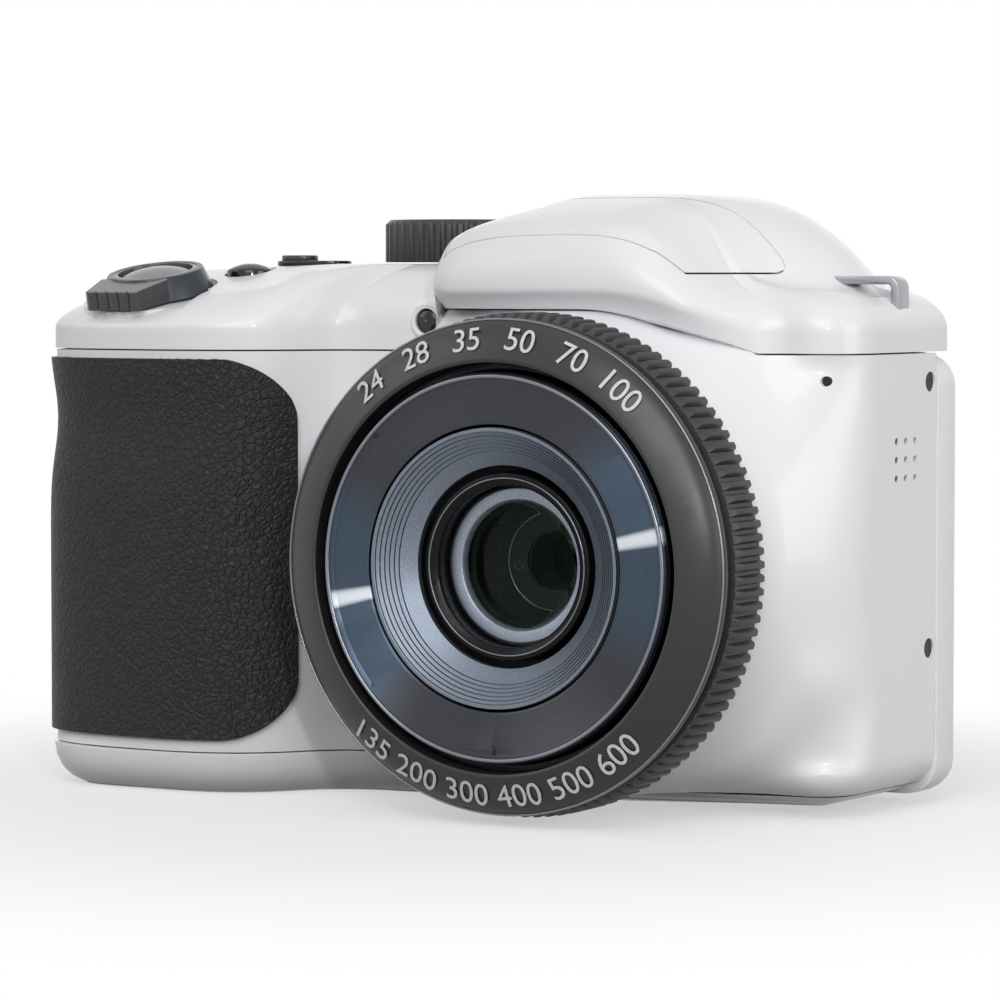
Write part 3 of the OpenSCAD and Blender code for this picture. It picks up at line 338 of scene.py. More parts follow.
    def base_inset(self, z, x):
        """How far the rounding of the bottom edge draws the casing in."""
        share = ease((x + 20) / 30)
        r = mix(self.base_round, self.side_round, share)
        h = mix(self.base_round, self.side_round, 0.5 * share)
        return 0.0 if z >= h else r - r * math.sqrt(1 - (1 - max(z, 0.12) / h) ** 2)

    def waist_at(self, z, x):
        """Depth of the finger waist."""
        return self.waist * math.exp(-(((z - self.waist_z) / 6) ** 2)) * ease((-40 - x) / 10)

    def collar_x(self, z):
        """Half width of the lens collar at height z."""
        return math.sqrt(max(0, self.collar_r**2 - (z - self.axis_z) ** 2))

    def front_at(self, x, z):
        """Y of the front: the flare round the lens and the swell of the grip run into one another."""
        lens = -np.interp(math.hypot(x, z - self.axis_z), self.flare[:, 0], self.flare[:, 1])
        grip = np.interp(-x, self.depths[:, 0], self.depths[:, 1])
        soft = 1.8 * clamp((min(lens, grip) - self.front_y) / 2)
        return -(lens + grip + math.sqrt((lens - grip) ** 2 + soft**2)) / 2 - self.crease(x, z)

    def crease(self, x, z):
        """Swell of the flare's rim and the hollow behind it, low on the plain side."""
        if x <= 0:
            return 0.0
        out = math.hypot(x, z - self.axis_z) - self.collar_r
        down = math.degrees(math.atan2(self.axis_z - z, x))
        swell = math.exp(-(((out - 5.0) / 2.4) ** 2)) * ease((down + 65) / 90) * ease((z - 2.5) / 7)
        hollow = 1.8 * math.exp(-(((out - 8.8) / 2.3) ** 2)) * ease((down + 5) / 40) * ease((z - 3) / 11)
        return swell - hollow

    def settled(self, points, z, turn):
        """A line at height z after the base rounding and the finger waist have drawn it in."""
        normals = side_normals(points, turn)
        out = []
        for (x, y), n in zip(points, normals):
            free = clamp((math.hypot(x, z - self.axis_z) - self.collar_r) / 4)
            d = (self.base_inset(z, x) + self.waist_at(z, x)) * free
            out.append((x - n[0] * d, y - n[1] * d))
        return out

    def left_line(self, z):
        """The casing at height z from the lens collar round the grip to the rear joint."""
        c = self.collar_x(z)
        inner = [(x, self.front_at(x, z)) for x in (-mix(c, self.free_x, s**1.7) for s in steps(44))]
        outer = [p for p in self.grip_line if p[0] < -self.free_x - 0.2]
        end = (-self.grip_x + self.grip_draft, self.joint_y)
        side = [(mix(outer[-1][0], end[0], s), mix(outer[-1][1], end[1], s)) for s in steps(14)[1:]]
        return self.settled(inner + outer + side, z, 1)

    def side_at(self, y):
        """X of the plain side, which leans in to the front."""
        return self.side_x - self.side_draft * (self.joint_y - y) / 15

    def right_line(self, z):
        """The casing at height z from the lens collar round the plain corner to the rear joint."""
        c = self.collar_x(z)
        if z < self.tray_z + self.seam_gap:
            c = max(c, self.foot_x)
        end_x = self.side_at(-self.front_y) - 0.05
        front = [(x, self.front_at(x, z)) for x in (mix(c, end_x, s**1.7) for s in steps(70))]
        run = np.cumsum(np.hypot(*np.diff(np.array(front), axis=0).T))[-1]
        cut = min(self.corner_r, 0.6 * run)
        flat = spread(front, [(run - cut) / run * s**1.5 for s in steps(26)])
        p = np.array(spread(front, [(run - cut) / run, min(1, (run - cut + 0.3) / run)]))
        go = (p[1] - p[0]) / np.linalg.norm(p[1] - p[0])
        last_y = front[-1][1] + self.corner_r
        q = np.array([self.side_at(last_y), last_y])
        back = np.array([self.side_at(last_y - 1), last_y - 1]) - q
        turn = bezier(p[0], p[0] + go * cut * 0.56, q + back * self.corner_r * 0.56, q, 18)[1:]
        side = [(self.side_at(y), y) for y in (mix(last_y, self.joint_y, s) for s in steps(12))]
        return self.settled(flat + turn + side, z, -1)


# Mesh helpers.
def loft(rows, closed=True):
    """A skin of quads over rows of points of equal count, given in millimetres."""
    across = len(rows[0]) if closed else len(rows[0]) - 1
    along = len(rows) - 1
    bm = bmesh.new()
    bmesh.ops.create_grid(bm, x_segments=across, y_segments=along, size=0.5)
    for v in bm.verts:
        i, j = round((v.co.x + 0.5) * across), round((v.co.y + 0.5) * along)
        v.co = Vector(rows[j][i % len(rows[0])]) * MM
    bmesh.ops.remove_doubles(bm, verts=bm.verts, dist=1e-7)
    return bm


def outward(bm):
    """Turns all faces out."""
    bmesh.ops.recalc_face_normals(bm, faces=bm.faces)
    return bm


def fronted(bm, reach=math.inf):
    """An open skin turned so that its foremost face, of those left of reach in metres, looks to the front."""
    faces = [p for p in outward(bm).faces if p.calc_center_median().x < reach]
    if min(faces, key=lambda p: p.calc_center_median().y).normal.y > 0:
        bmesh.ops.reverse_faces(bm, faces=bm.faces)
    return bm


def merged(parts):
    """Several bmeshes as one."""
    whole = bmesh.new()
    for bm in parts:
        mesh = bpy.data.meshes.new("part")
        bm.to_mesh(mesh)
        bm.free()
        whole.from_mesh(mesh)
        bpy.data.meshes.remove(mesh)
    return whole


def prism(points, start, end, axis):
    """A plane outline drawn out from start to end along an axis, in millimetres."""
    put = {"X": lambda p, t: (t, *p), "Y": lambda p, t: (p[0], t, p[1]), "Z": lambda p, t: (*p, t)}[axis]
    bm = bmesh.new()
    face = bm.faces.new([bm.verts.new(Vector(put(p, start)) * MM) for p in points])
    moved = bmesh.ops.extrude_face_region(bm, geom=[face])["geom"]
    lift = Vector(put((0, 0), end - start)) * MM
    bmesh.ops.translate(bm, verts=[v for v in moved if isinstance(v, bmesh.types.BMVert)], vec=lift)
    return outward(bm)


def rod(centre, r, start, end, axis, segments=48):
    """A round prism about a point of the plane across an axis."""
    return prism(arc(centre, r, 0, 360, segments), start, end, axis)


def turned(bm, matrix):
    """Moves a bmesh by a matrix."""
    bmesh.ops.transform(bm, matrix=matrix, verts=bm.verts)
    return bm


def spun(profile, z, steps_round=192):
    """A closed profile of radius and Y, in millimetres, turned about the lens axis at height z."""
    bm = bmesh.new()
    verts = [bm.verts.new((r * MM, y * MM, z * MM)) for r, y in profile]
    edges = [bm.edges.new(pair) for pair in zip(verts, verts[1:] + verts[:1])]
    bmesh.ops.spin(
        bm, geom=verts + edges, cent=(0, 0, z * MM), axis=(0, 1, 0), angle=math.tau, steps=steps_round, use_merge=True,
    )
    bmesh.ops.remove_doubles(bm, verts=bm.verts, dist=1e-7)
    return outward(bm)


def loose(bm, name):
    """A bmesh as an object of the scene."""
    mesh = bpy.data.meshes.new(name)
    bm.to_mesh(mesh)
    bm.free()
    obj = bpy.data.objects.new(name, mesh)
    bpy.context.scene.collection.objects.link(obj)
    return obj


def settle(obj):
    """Makes an object's modifiers part of its mesh."""
    bpy.context.view_layer.update()
    made = bpy.data.meshes.new_from_object(obj.evaluated_get(bpy.context.evaluated_depsgraph_get()))
    old = obj.data
    obj.modifiers.clear()
    obj.data = made
    bpy.data.meshes.remove(old)


def thicken(obj, depth):
    """Gives an open skin a wall behind it, depth in metres."""
    wall = obj.modifiers.new("wall", "SOLIDIFY")
    wall.thickness = depth
    wall.offset = -1.0
    settle(obj)


def carve(obj, tools, operation="DIFFERENCE"):
    """Cuts, joins or crosses an object with closed bmeshes."""
    for bm in tools:
        tool = loose(bm, "tool")
        cut = obj.modifiers.new("cut", "BOOLEAN")
        cut.solver = "MANIFOLD"
        cut.operation = operation
        cut.object = tool
        settle(obj)
        mesh = tool.data
        bpy.data.objects.remove(tool)
        bpy.data.meshes.remove(mesh)


def soften(bm, offset, least=38.0, segments=2):
    """Rounds the edges that turn by more than an angle in degrees."""
    sharp = [e for e in bm.edges if len(e.link_faces) == 2 and e.calc_face_angle() > math.radians(least)]
    bmesh.ops.bevel(
        bm, geom=sharp, offset=offset * MM, offset_type="OFFSET", affect="EDGES", segments=segments,
        profile=0.5, material=-1, clamp_overlap=True,
    )


def piece(source, name, body, material, replaces=(), sharp=32.0):
    """Finishes a bmesh or an object as a piece of the part that rides on a body."""
    obj = source if isinstance(source, bpy.types.Object) else loose(source, name)
    obj.name = name
    obj.data.name = name
    obj.data.materials.clear()
    obj.data.materials.append(material)
    obj.data.shade_smooth()
    obj.data.set_sharp_from_angle(angle=math.radians(sharp))
    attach(obj, body)
    if replaces:
        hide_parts(*replaces)
    return obj


def body_of(node):
    return NODES[node]["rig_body"]


def refined(node, material, rounding):
    """A merged copy of a CAD node with its sharp edges rounded, which stands for the node."""
    bm = bmesh.new()
    bm.from_mesh(NODES[node].data)
    bmesh.ops.remove_doubles(bm, verts=bm.verts, dist=1e-6)
    bmesh.ops.dissolve_limit(bm, angle_limit=math.radians(0.5), verts=bm.verts, edges=bm.edges)
    if rounding:
        soften(bm, rounding)
    return piece(bm, node + "_skin", body_of(node), material, [node])


# Materials.
def link(tree, n, inputs):
    """Sets a node's inputs; each is a value, an output to link, or a node, whose first output is linked."""
    for key, value in inputs.items():
        if isinstance(value, bpy.types.Node):
            value = value.outputs[0]
        if isinstance(value, bpy.types.NodeSocket):
            tree.links.new(value, n.inputs[key])
        else:
            n.inputs[key].default_value = value


def add(tree, kind, inputs=None, **settings):
    """Adds a shader node with its settings and links."""
    n = tree.nodes.new("ShaderNode" + kind)
    for key, value in settings.items():
        setattr(n, key, value)
    link(tree, n, inputs or {})
    return n


def material(name, sockets):
    """A material with one principled shader; returns it, its tree, its shader and the object coordinates."""
    m = bpy.data.materials.get(name) or bpy.data.materials.new(name)
    m.use_nodes = True
    m.node_tree.nodes.clear()
    tree = m.node_tree
    shader = add(tree, "BsdfPrincipled", sockets)
    add(tree, "OutputMaterial", {"Surface": shader})
    return m, tree, shader, add(tree, "TexCoord").outputs["Object"]


MID_NOISE = (0.3, 0.7)  # the part of a noise's range that its values lie in


def mottle(tree, shader, coords, size, colours, rough, bump=0.0, depth=0.01):
    """Colour, roughness and relief that wander with one noise, whose grain is size in millimetres."""
    noise = add(tree, "TexNoise", {"Vector": coords, "Scale": 1 / (size * MM), "Detail": 3.0, "Roughness": 0.55})
    ramp = add(tree, "ValToRGB", {"Fac": noise})
    ramp.color_ramp.elements[0].position, ramp.color_ramp.elements[1].position = MID_NOISE
    ramp.color_ramp.elements[0].color, ramp.color_ramp.elements[1].color = colours
    gloss = add(tree, "MapRange", {
        "Value": noise, "From Min": MID_NOISE[0], "From Max": MID_NOISE[1], "To Min": rough[0], "To Max": rough[1],
    })
    link(tree, shader, {"Base Color": ramp, "Roughness": gloss})
    if bump:
        relief = add(tree, "Bump", {"Height": noise, "Strength": bump, "Distance": depth * MM})
        link(tree, shader, {"Normal": relief})


def shade(c, k):
    return (c[0] * k, c[1] * k, c[2] * k, 1.0)


def white_abs():
    """Moulded gloss ABS: an even white with a clear gloss and a trace of flow marks."""
    c = tuple(bpy.context.scene.camera_casing.white)
    m, tree, shader, coords = material("abs_moulded_gloss_white", {
        "IOR": 1.5, "Coat Weight": 0.2, "Coat Roughness": 0.07,
    })
    mottle(tree, shader, coords, 9.0, (shade(c, 0.985), c), (0.36, 0.42))
    return m


def grip_rubber():
    """Moulded rubber with a leather grain: rounded pebbles between narrow creases, with painted shade darkening the
    creases and lighter pebble tops, dull with soft glints.
    """
    p = bpy.context.scene.camera_grip
    c = tuple(p.black)
    m, tree, shader, coords = material("rubber_moulded_leather_grain", {"IOR": 1.5, "Specular IOR Level": 0.3})
    warp = add(tree, "TexNoise", {"Vector": coords, "Scale": 1 / (p.pebble * 1.6), "Detail": 2.0})
    push = add(tree, "VectorMath", {0: warp.outputs["Color"], 1: (0.5, 0.5, 0.5)}, operation="SUBTRACT")
    moved = add(tree, "VectorMath", {0: push, 1: (0.0011,) * 3, 2: coords}, operation="MULTIPLY_ADD")
    cells = add(tree, "TexVoronoi", {
        "Vector": moved, "Scale": 1 / p.pebble, "Randomness": 1.0,
    }, feature="DISTANCE_TO_EDGE")
    crease = add(tree, "MapRange", {"Value": cells, "From Min": 0.0, "From Max": 0.22}, interpolation_type="SMOOTHSTEP")
    pores = add(tree, "TexNoise", {"Vector": coords, "Scale": 1 / (0.28 * MM), "Detail": 3.0})
    height = add(tree, "Math", {0: pores, 1: 0.35, 2: crease}, operation="MULTIPLY_ADD")
    # Painted shade: the colour follows the grain's height, dark in the creases and light on the pebbles.
    ramp = add(tree, "ValToRGB", {"Fac": height})
    ramp.color_ramp.elements[0].color, ramp.color_ramp.elements[1].color = shade(c, 0.45), shade(c, 1.15)
    ramp.color_ramp.elements[1].position = 0.8
    gloss = add(tree, "MapRange", {"Value": pores, "To Min": 0.38, "To Max": 0.62})
    relief = add(tree, "Bump", {"Height": height, "Strength": 0.75, "Distance": 0.16 * MM})
    link(tree, shader, {"Base Color": ramp, "Roughness": gloss, "Normal": relief})
    return m


def satin(name, c, rough, grain, bump, **sockets):
    """Spark-textured moulded plastic: one dark tone with a fine even grain, drawn coarse enough to show."""
    m, tree, shader, coords = material(name, {"IOR": 1.5, **sockets})
    mottle(tree, shader, coords, grain, (shade(c, 0.82), shade(c, 1.12)), rough, bump, 0.012)
    return m


PAINTED_REFLECTION_LEAN = math.radians(11.5)  # lean of the painted reflection fans and painted highlight on the spun metal
PAINTED_REFLECTION_TINT = (1.0, 1.35, 1.65, 1.0)  # tint of the painted reflection fans


def spun_metal(name, c, rough, rings):
    """Turned and anodised aluminium: fine rings about the lens axis, with a painted reflection of two opposite bluish
    fans and a painted highlight along a narrow line across them.
    """
    m, tree, shader, coords = material(name, {
        "Metallic": 1.0, "Anisotropic": 1.0, "Anisotropic Rotation": 0.25, "Roughness": rough,
    })
    axis = bpy.context.scene.camera_lens.axis_z
    centred = add(tree, "VectorMath", {0: coords, 1: (0.0, 0.0, axis)}, operation="SUBTRACT")
    flat = add(tree, "VectorMath", {0: centred, 1: (1.0, 0.0, 1.0)}, operation="MULTIPLY")
    radius = add(tree, "VectorMath", {0: flat}, operation="LENGTH")
    line = add(tree, "TexNoise", {
        "W": radius.outputs["Value"], "Scale": 1 / (rings * MM), "Detail": 2.0,
    }, noise_dimensions="1D")
    ramp = add(tree, "ValToRGB", {"Fac": line})
    ramp.color_ramp.elements[0].position, ramp.color_ramp.elements[1].position = MID_NOISE
    ramp.color_ramp.elements[0].color, ramp.color_ramp.elements[1].color = shade(c, 0.8), shade(c, 1.15)
    way = add(tree, "VectorMath", {0: flat}, operation="NORMALIZE")
    lean = (math.cos(PAINTED_REFLECTION_LEAN), 0.0, math.sin(PAINTED_REFLECTION_LEAN))
    across = add(tree, "VectorMath", {0: way, 1: lean}, operation="DOT_PRODUCT")
    side = add(tree, "Math", {0: across.outputs["Value"]}, operation="ABSOLUTE")
    # Painted reflection and painted highlight: the fans and the bright line are colour at one fixed lean, not light
    # from the lamps.
    painted_fans_mask = add(tree, "MapRange", {"Value": side, "From Min": 0.7, "From Max": 0.95}, interpolation_type="SMOOTHSTEP")
    sheen = add(tree, "MixRGB", {"Fac": painted_fans_mask, "Color1": ramp, "Color2": PAINTED_REFLECTION_TINT}, blend_type="MULTIPLY")
    near = add(tree, "MapRange", {"Value": side, "From Min": 0.9984, "From Max": 1.0}, interpolation_type="SMOOTHSTEP")
    painted_highlight_line = add(tree, "MixRGB", {"Fac": near, "Color1": sheen, "Color2": linear("D4DAE0")})
    tangent = add(tree, "Tangent", direction_type="RADIAL", axis="Y")
    link(tree, shader, {"Base Color": painted_highlight_line, "Tangent": tangent})
    return m


def blasted(name, c, rough):
    """Bead-blasted and anodised aluminium: a soft slate sheen broken up by a fine glitter."""
    m, tree, shader, coords = material(name, {"Metallic": 0.85})
    mottle(tree, shader, coords, 0.16, (shade(c, 0.72), shade(c, 1.25)), rough, 0.35, 0.02)
    return m


def metal(name, code, rough, grain=0.3):
    """Plain finished metal: a bright base with a faint wander in its polish."""
    c = linear(code)
    m, tree, shader, coords = material(name, {"Metallic": 1.0})
    mottle(tree, shader, coords, grain, (shade(c, 0.9), c), rough)
    return m


def coated_glass(name, tint, gleam):
    """Polished and coated optical glass: clear and dark behind, with a coloured gleam from its coating."""
    m, tree, shader, coords = material(name, {
        "Base Color": linear(tint), "IOR": 1.5, "Transmission Weight": 1.0, "Specular Tint": linear(gleam),
    })
    smear = add(tree, "TexNoise", {"Vector": coords, "Scale": 1 / (4 * MM)})
    gloss = add(tree, "MapRange", {"Value": smear, "To Min": 0.0, "To Max": 0.02})
    link(tree, shader, {"Roughness": gloss})
    return m


FINISHES = {}


def finishes():
    """All the finishes, made once."""
    if FINISHES:
        return FINISHES
    lens = bpy.context.scene.camera_lens
    FINISHES.update(
        white=white_abs(),
        rubber=grip_rubber(),
        bezel=satin("polycarbonate_satin_black", tuple(lens.bezel), (0.3, 0.4), 0.2, 0.08),
        knurl=satin("abs_matt_charcoal", tuple(lens.knurl), (0.42, 0.55), 0.25, 0.15),
        baffle=blasted("aluminium_blasted_baffle", tuple(lens.baffle), (0.36, 0.5)),
        inner=satin("polycarbonate_matt_black", linear("141416"), (0.5, 0.65), 0.2, 0.1),
        cell=satin(
            "polycarbonate_gloss_black", linear("0E0E10"), (0.2, 0.34), 1.2, 0.0, **{"Specular IOR Level": 0.15},
        ),
        ring=blasted("aluminium_blasted_ring", linear("8A929E"), (0.34, 0.46)),
        control=satin("abs_satin_grey", linear("3E3E40"), (0.22, 0.32), 0.18, 0.08),
        dial=satin("abs_satin_charcoal", linear("29292B"), (0.35, 0.48), 0.18, 0.12),
        gloss=satin("acrylic_gloss_black", linear("121214"), (0.08, 0.16), 4.0, 0.0),
        spun=spun_metal("aluminium_spun_anodised", tuple(lens.spun), 0.3, 0.12),
        tube=metal("aluminium_anodised_tube", "44474C", (0.28, 0.38), 3.0),
        rim=metal("aluminium_turned_rim", "7C8086", (0.22, 0.34), 5.0),
        button=metal("aluminium_satin_button", "8A8C90", (0.3, 0.42)),
        steel=metal("steel_bent_bright", "A8AAAE", (0.22, 0.32), 4.0),
        brass=metal("brass_sprung", "C8A860", (0.25, 0.4)),
        mirror=metal("aluminium_polished_reflector", "E6E8EA", (0.05, 0.12), 3.0),
        board=satin("laminate_green_mask", linear("1E5A34"), (0.3, 0.45), 1.5, 0.05),
        jacket=satin("film_gloss_jacket", linear("3C6FA8"), (0.18, 0.28), 6.0, 0.0),
        paint=satin("ink_printed_white", linear("D8DADD"), (0.4, 0.5), 0.3, 0.0),
        glass=coated_glass("glass_coated_optical", "D8E0DA", "304A3A"),
        clear=coated_glass("acrylic_prismatic_clear", "F4F8FA", "FFFFFF"),
    )
    return FINISHES


def shape():
    """The casing at the sizes now set."""
    scene = bpy.context.scene
    return Casing(scene.camera_casing, scene.camera_lens)


# Pieces.
PIVOT = (-7.6, 71.2)  # Y and Z of the flash hinge
SHUTTER = Matrix.Translation(Vector((-59.2, -18.0, 61.3)) * MM) @ Matrix.Rotation(math.radians(12), 4, "X")
BURST, POWER, DIAL = (-51.9, -8), (-46.4, -1.5), (-27.8, 3.0)  # X and Y on the deck
LAMP, MICROPHONE = (-21.6, 58.3), (31.2, 51.6)  # X and Z on the front
SCREW_Y, SCREW_Z = 5.5, (19.3, 51.2)
SPEAKER = [(y - 0.6, z + 42.1) for y in (-2.3, 0, 2.3) for z in (-2.2, 0, 2.2)]  # Y and Z of its holes


def rect(x, y, x_end, y_end):
    return [(x, y), (x_end, y), (x_end, y_end), (x, y_end)]


def flash_room(c, gap):
    """The space of the flash lid in the top cover."""
    left, right = -15.8 - gap, 22.0
    top, low, rear = c.hump_z - 4.4, c.deck_z - 1.3, -5.5
    profile = [
        (-60, top - gap), (-c.visor_y + 2, top - gap), (-c.visor_y + 4.7 - gap, low - gap), (rear - 1.6, low - gap),
        (rear - 0.4 + gap, low + 0.4 - gap), (rear + gap, low + 1.6), (rear + gap, PIVOT[1]),
    ]
    profile += arc(PIVOT, rear - PIVOT[0] + gap, 0, 90, 16)[1:]
    profile += [(PIVOT[0], PIVOT[1] + rear - PIVOT[0] + gap), (PIVOT[0], 100), (-60, 100)]
    return prism(profile, left, right, "X")


def pill(centre, w, h):
    """A slot w long and h wide with round ends."""
    (x, y), out, r = centre, (w - h) / 2, h / 2
    right = arc((x + out, y), r, -90, 90, 24) + [(x + out, y + r)]
    return right + arc((x - out, y), r, 90, 270, 24) + [(x - out, y - r)]


def top_solid(c):
    """The top cover's wall with nothing cut."""
    return outward(loft(list(reversed(c.top_rows(c.wall))) + c.top_rows(0)))


class CAMERA_OT_top(bpy.types.Operator):
    """Lofts the top cover with its hump, visor, lug scoops and control seats"""

    bl_idname = "camera_part.top"
    bl_label = "Top Cover"

    def execute(self, context):
        c = shape()
        f = finishes()
        obj = loose(top_solid(c), "top")
        seat = turned(rod((0, 0), 9.4, -2.0, 0.02, "Z"), SHUTTER)
        scoop_y, scoop_z = 1, c.deck_z - 1.3
        lugs = [c.side_x - 5, -c.grip_x + c.grip_draft + 5]
        floors = [
            prism(arc((x - math.copysign(0.9, x), scoop_z), 3.7, 232, 308, 24), scoop_y - 4.8, scoop_y + 4.8, "Y")
            for x in lugs
        ]
        carve(obj, [seat] + floors, "UNION")
        tools = [flash_room(c, c.seam_gap)]
        tools += [rod((x, scoop_z), 3.2, scoop_y - 4.5, scoop_y + 4.5, "Y") for x in lugs]
        tools += [
            turned(rod((0, 0), 7.6, 0, 40, "Z", 96), SHUTTER),
            turned(prism(rect(-8.4, -12, 8.4, 0), 0, 40, "Z"), SHUTTER),
            turned(rod((0, 0), 2.2, -9, 1, "Z"), SHUTTER),
            rod(BURST, 3.3, 50, 90, "Z"),
            prism(pill(POWER, 10.4, 5.4), c.deck_z - 0.6, 90, "Z"),
            rod(DIAL, 9.8, c.deck_z - 0.3, 90, "Z", 96),
            rod(LAMP, 1.55, -40, 0, "Y"),
        ]
        carve(obj, tools)
        y = -c.front_y
        ring = spun([(1.55, y - 0.6), (2.0, y - 0.7), (2.25, y - 0.35), (2.3, y + 1), (1.55, y + 1)], 0, 48)
        bmesh.ops.translate(ring, verts=ring.verts, vec=Vector((LAMP[0], 0, LAMP[1])) * MM)
        carve(obj, [ring], "UNION")
        piece(obj, "top_cover_skin", "camera_body", f["white"], ["top_cover"])
        return {"FINISHED"}


class CAMERA_OT_flash(bpy.types.Operator):
    """Cuts the flash lid from the same loft and adds its head"""

    bl_idname = "camera_part.flash"
    bl_label = "Flash Lid"

    def execute(self, context):
        c = shape()
        f = finishes()
        obj = loose(top_solid(c), "lid")
        carve(obj, [flash_room(c, 0.0)], "INTERSECT")
        y, z = PIVOT
        head = [
            (-20, c.hump_z - 6), (-9.2, c.hump_z - 3), (-9.2, c.lip_z + 1), (-15, c.lip_z + 0.6), (-20, c.lip_z + 5.6),
        ]
        knuckle = arc(PIVOT, 1.6, -90, 180, 36) + [(y - 1.6, z), (y - 3, z), (y - 3, z - 1.6)]
        carve(obj, [prism(head, -11.95, 8.45, "X"), prism(knuckle, -5.5, 5.5, "X")], "UNION")
        notch = prism(rect(-2.8, y - 1.9, 2.8, 0), z - 3, z + 0.9, "Z")
        lean = Matrix.Rotation(math.radians(45), 4, "X")
        face = Matrix.Translation(Vector((-1.75, -16.8, c.lip_z + 3.8)) * MM) @ lean
        pocket = turned(prism(rect(-8.6, -10, 8.6, 2.9), -3.1, 3.1, "Z"), face)
        carve(obj, [notch, pocket, rod(PIVOT, 0.85, -7, 7, "X")])
        piece(obj, "flash_cover_skin", "flash_lid", f["white"], ["flash_cover"])
        return {"FINISHED"}


class CAMERA_OT_front(bpy.types.Operator):
    """Lofts the front cover, whose face flares into the lens turret"""

    bl_idname = "camera_part.front"
    bl_label = "Front Cover"

    def execute(self, context):
        c = shape()
        f = finishes()
        low, tray, top = c.base_z + c.seam_gap, c.tray_z + c.seam_gap, c.seam_z - c.seam_gap
        upper = [mix(tray, top, s) for s in steps(46)]
        lower = [mix(low, tray, s**1.3) for s in steps(9)[:-1]]
        right = loft([[(x, y, self.lifted(x, z)) for x, y in c.right_line(z)] for z in lower + upper], False)
        left = loft([[(x, y, z) for x, y in c.left_line(z)] for z in upper], False)
        bm = merged([right, left])
        bmesh.ops.remove_doubles(bm, verts=bm.verts, dist=2e-6)
        obj = loose(fronted(bm, -0.05), "front")
        thicken(obj, c.front_wall * MM)
        self.brow(c, top, f["white"])
        screws = [(x, z) for x in (c.side_at(SCREW_Y), -c.grip_x + c.grip_draft) for z in SCREW_Z]
        tools = [rod((SCREW_Y, z), 1.2, x - 1.2, x + 1.2, "X", 32) for x, z in screws]
        tools += [rod(at, 0.42, c.side_x - 4, c.side_x + 4, "X", 16) for at in SPEAKER]
        tools += [rod(MICROPHONE, 0.6, -30, 0, "Y", 24)]
        carve(obj, tools)
        spigot = rect(25.6, c.knurl_back - 5.7, 27.0, c.knurl_back + 1.5)
        carve(obj, [spun(spigot, c.axis_z)], "UNION")
        piece(obj, "front_cover_skin", "camera_body", f["white"], ["front_cover"])
        self.fill_holes(c, screws, f["inner"])
        return {"FINISHED"}

    @staticmethod
    def lifted(x, z):
        """Height z after the base beside the lens has been raised a little off the floor."""
        return z + 1.4 * ease((x - 3) / 9) * clamp(1 - z / 12) ** 2

    def brow(self, c, top, white):
        """The part of the turret that reaches up under the visor, and the ledge that closes its step."""
        across = [mix(-20.2, 23.4, s) for s in steps(110)]
        low = [max(top, c.axis_z + math.sqrt(max(0, c.collar_r**2 - x * x))) for x in across]
        high = [max(b + 0.05, c.lip_at(x) - c.seam_gap) for x, b in zip(across, low)]
        levels = [[mix(a, b, s) for a, b in zip(low, high)] for s in steps(9)]
        rows = [[(x, c.front_at(x, z), z) for x, z in zip(across, level)] for level in levels]
        bm = fronted(loft(rows, False))
        back = 2.5 - c.front_y
        rim = bmesh.ops.extrude_edge_only(bm, edges=[e for e in bm.edges if e.is_boundary])["geom"]
        for v in rim:
            if isinstance(v, bmesh.types.BMVert):
                v.co.y = back * MM
        piece(bm, "turret_brow", "camera_body", white)
        front = [(x, c.front_at(x, top) + 0.5) for x in (mix(-33, -17, s) for s in steps(40))]
        ledge = prism(front + [(-17, back), (-33, back)], top - 1.2, top - 0.05, "Z")
        piece(ledge, "turret_ledge", "camera_body", white)

    def fill_holes(self, c, screws, dark):
        """Dark plugs just inside the screw, speaker and microphone holes: painted shade that makes the holes read dark,
        in front of the dark screw heads set deeper.
        """
        side = c.side_at(-0.6)
        corner = min(c.right_line(MICROPHONE[1]), key=lambda q: abs(q[0] - MICROPHONE[0]))[1]
        # Painted shade: these dark plugs stand for the shade inside the holes.
        rods = [
            rod((SCREW_Y, z), 1.15, x - math.copysign(1.0, x), x - math.copysign(0.15, x), "X", 32) for x, z in screws
        ]
        rods += [rod(at, 0.4, side - 1.4, side - 0.3, "X", 16) for at in SPEAKER]
        rods += [rod(MICROPHONE, 0.58, corner + 0.35, corner + 1.4, "Y", 24)]
        piece(outward(merged(rods)), "hole_shade_plugs", "camera_body", dark)


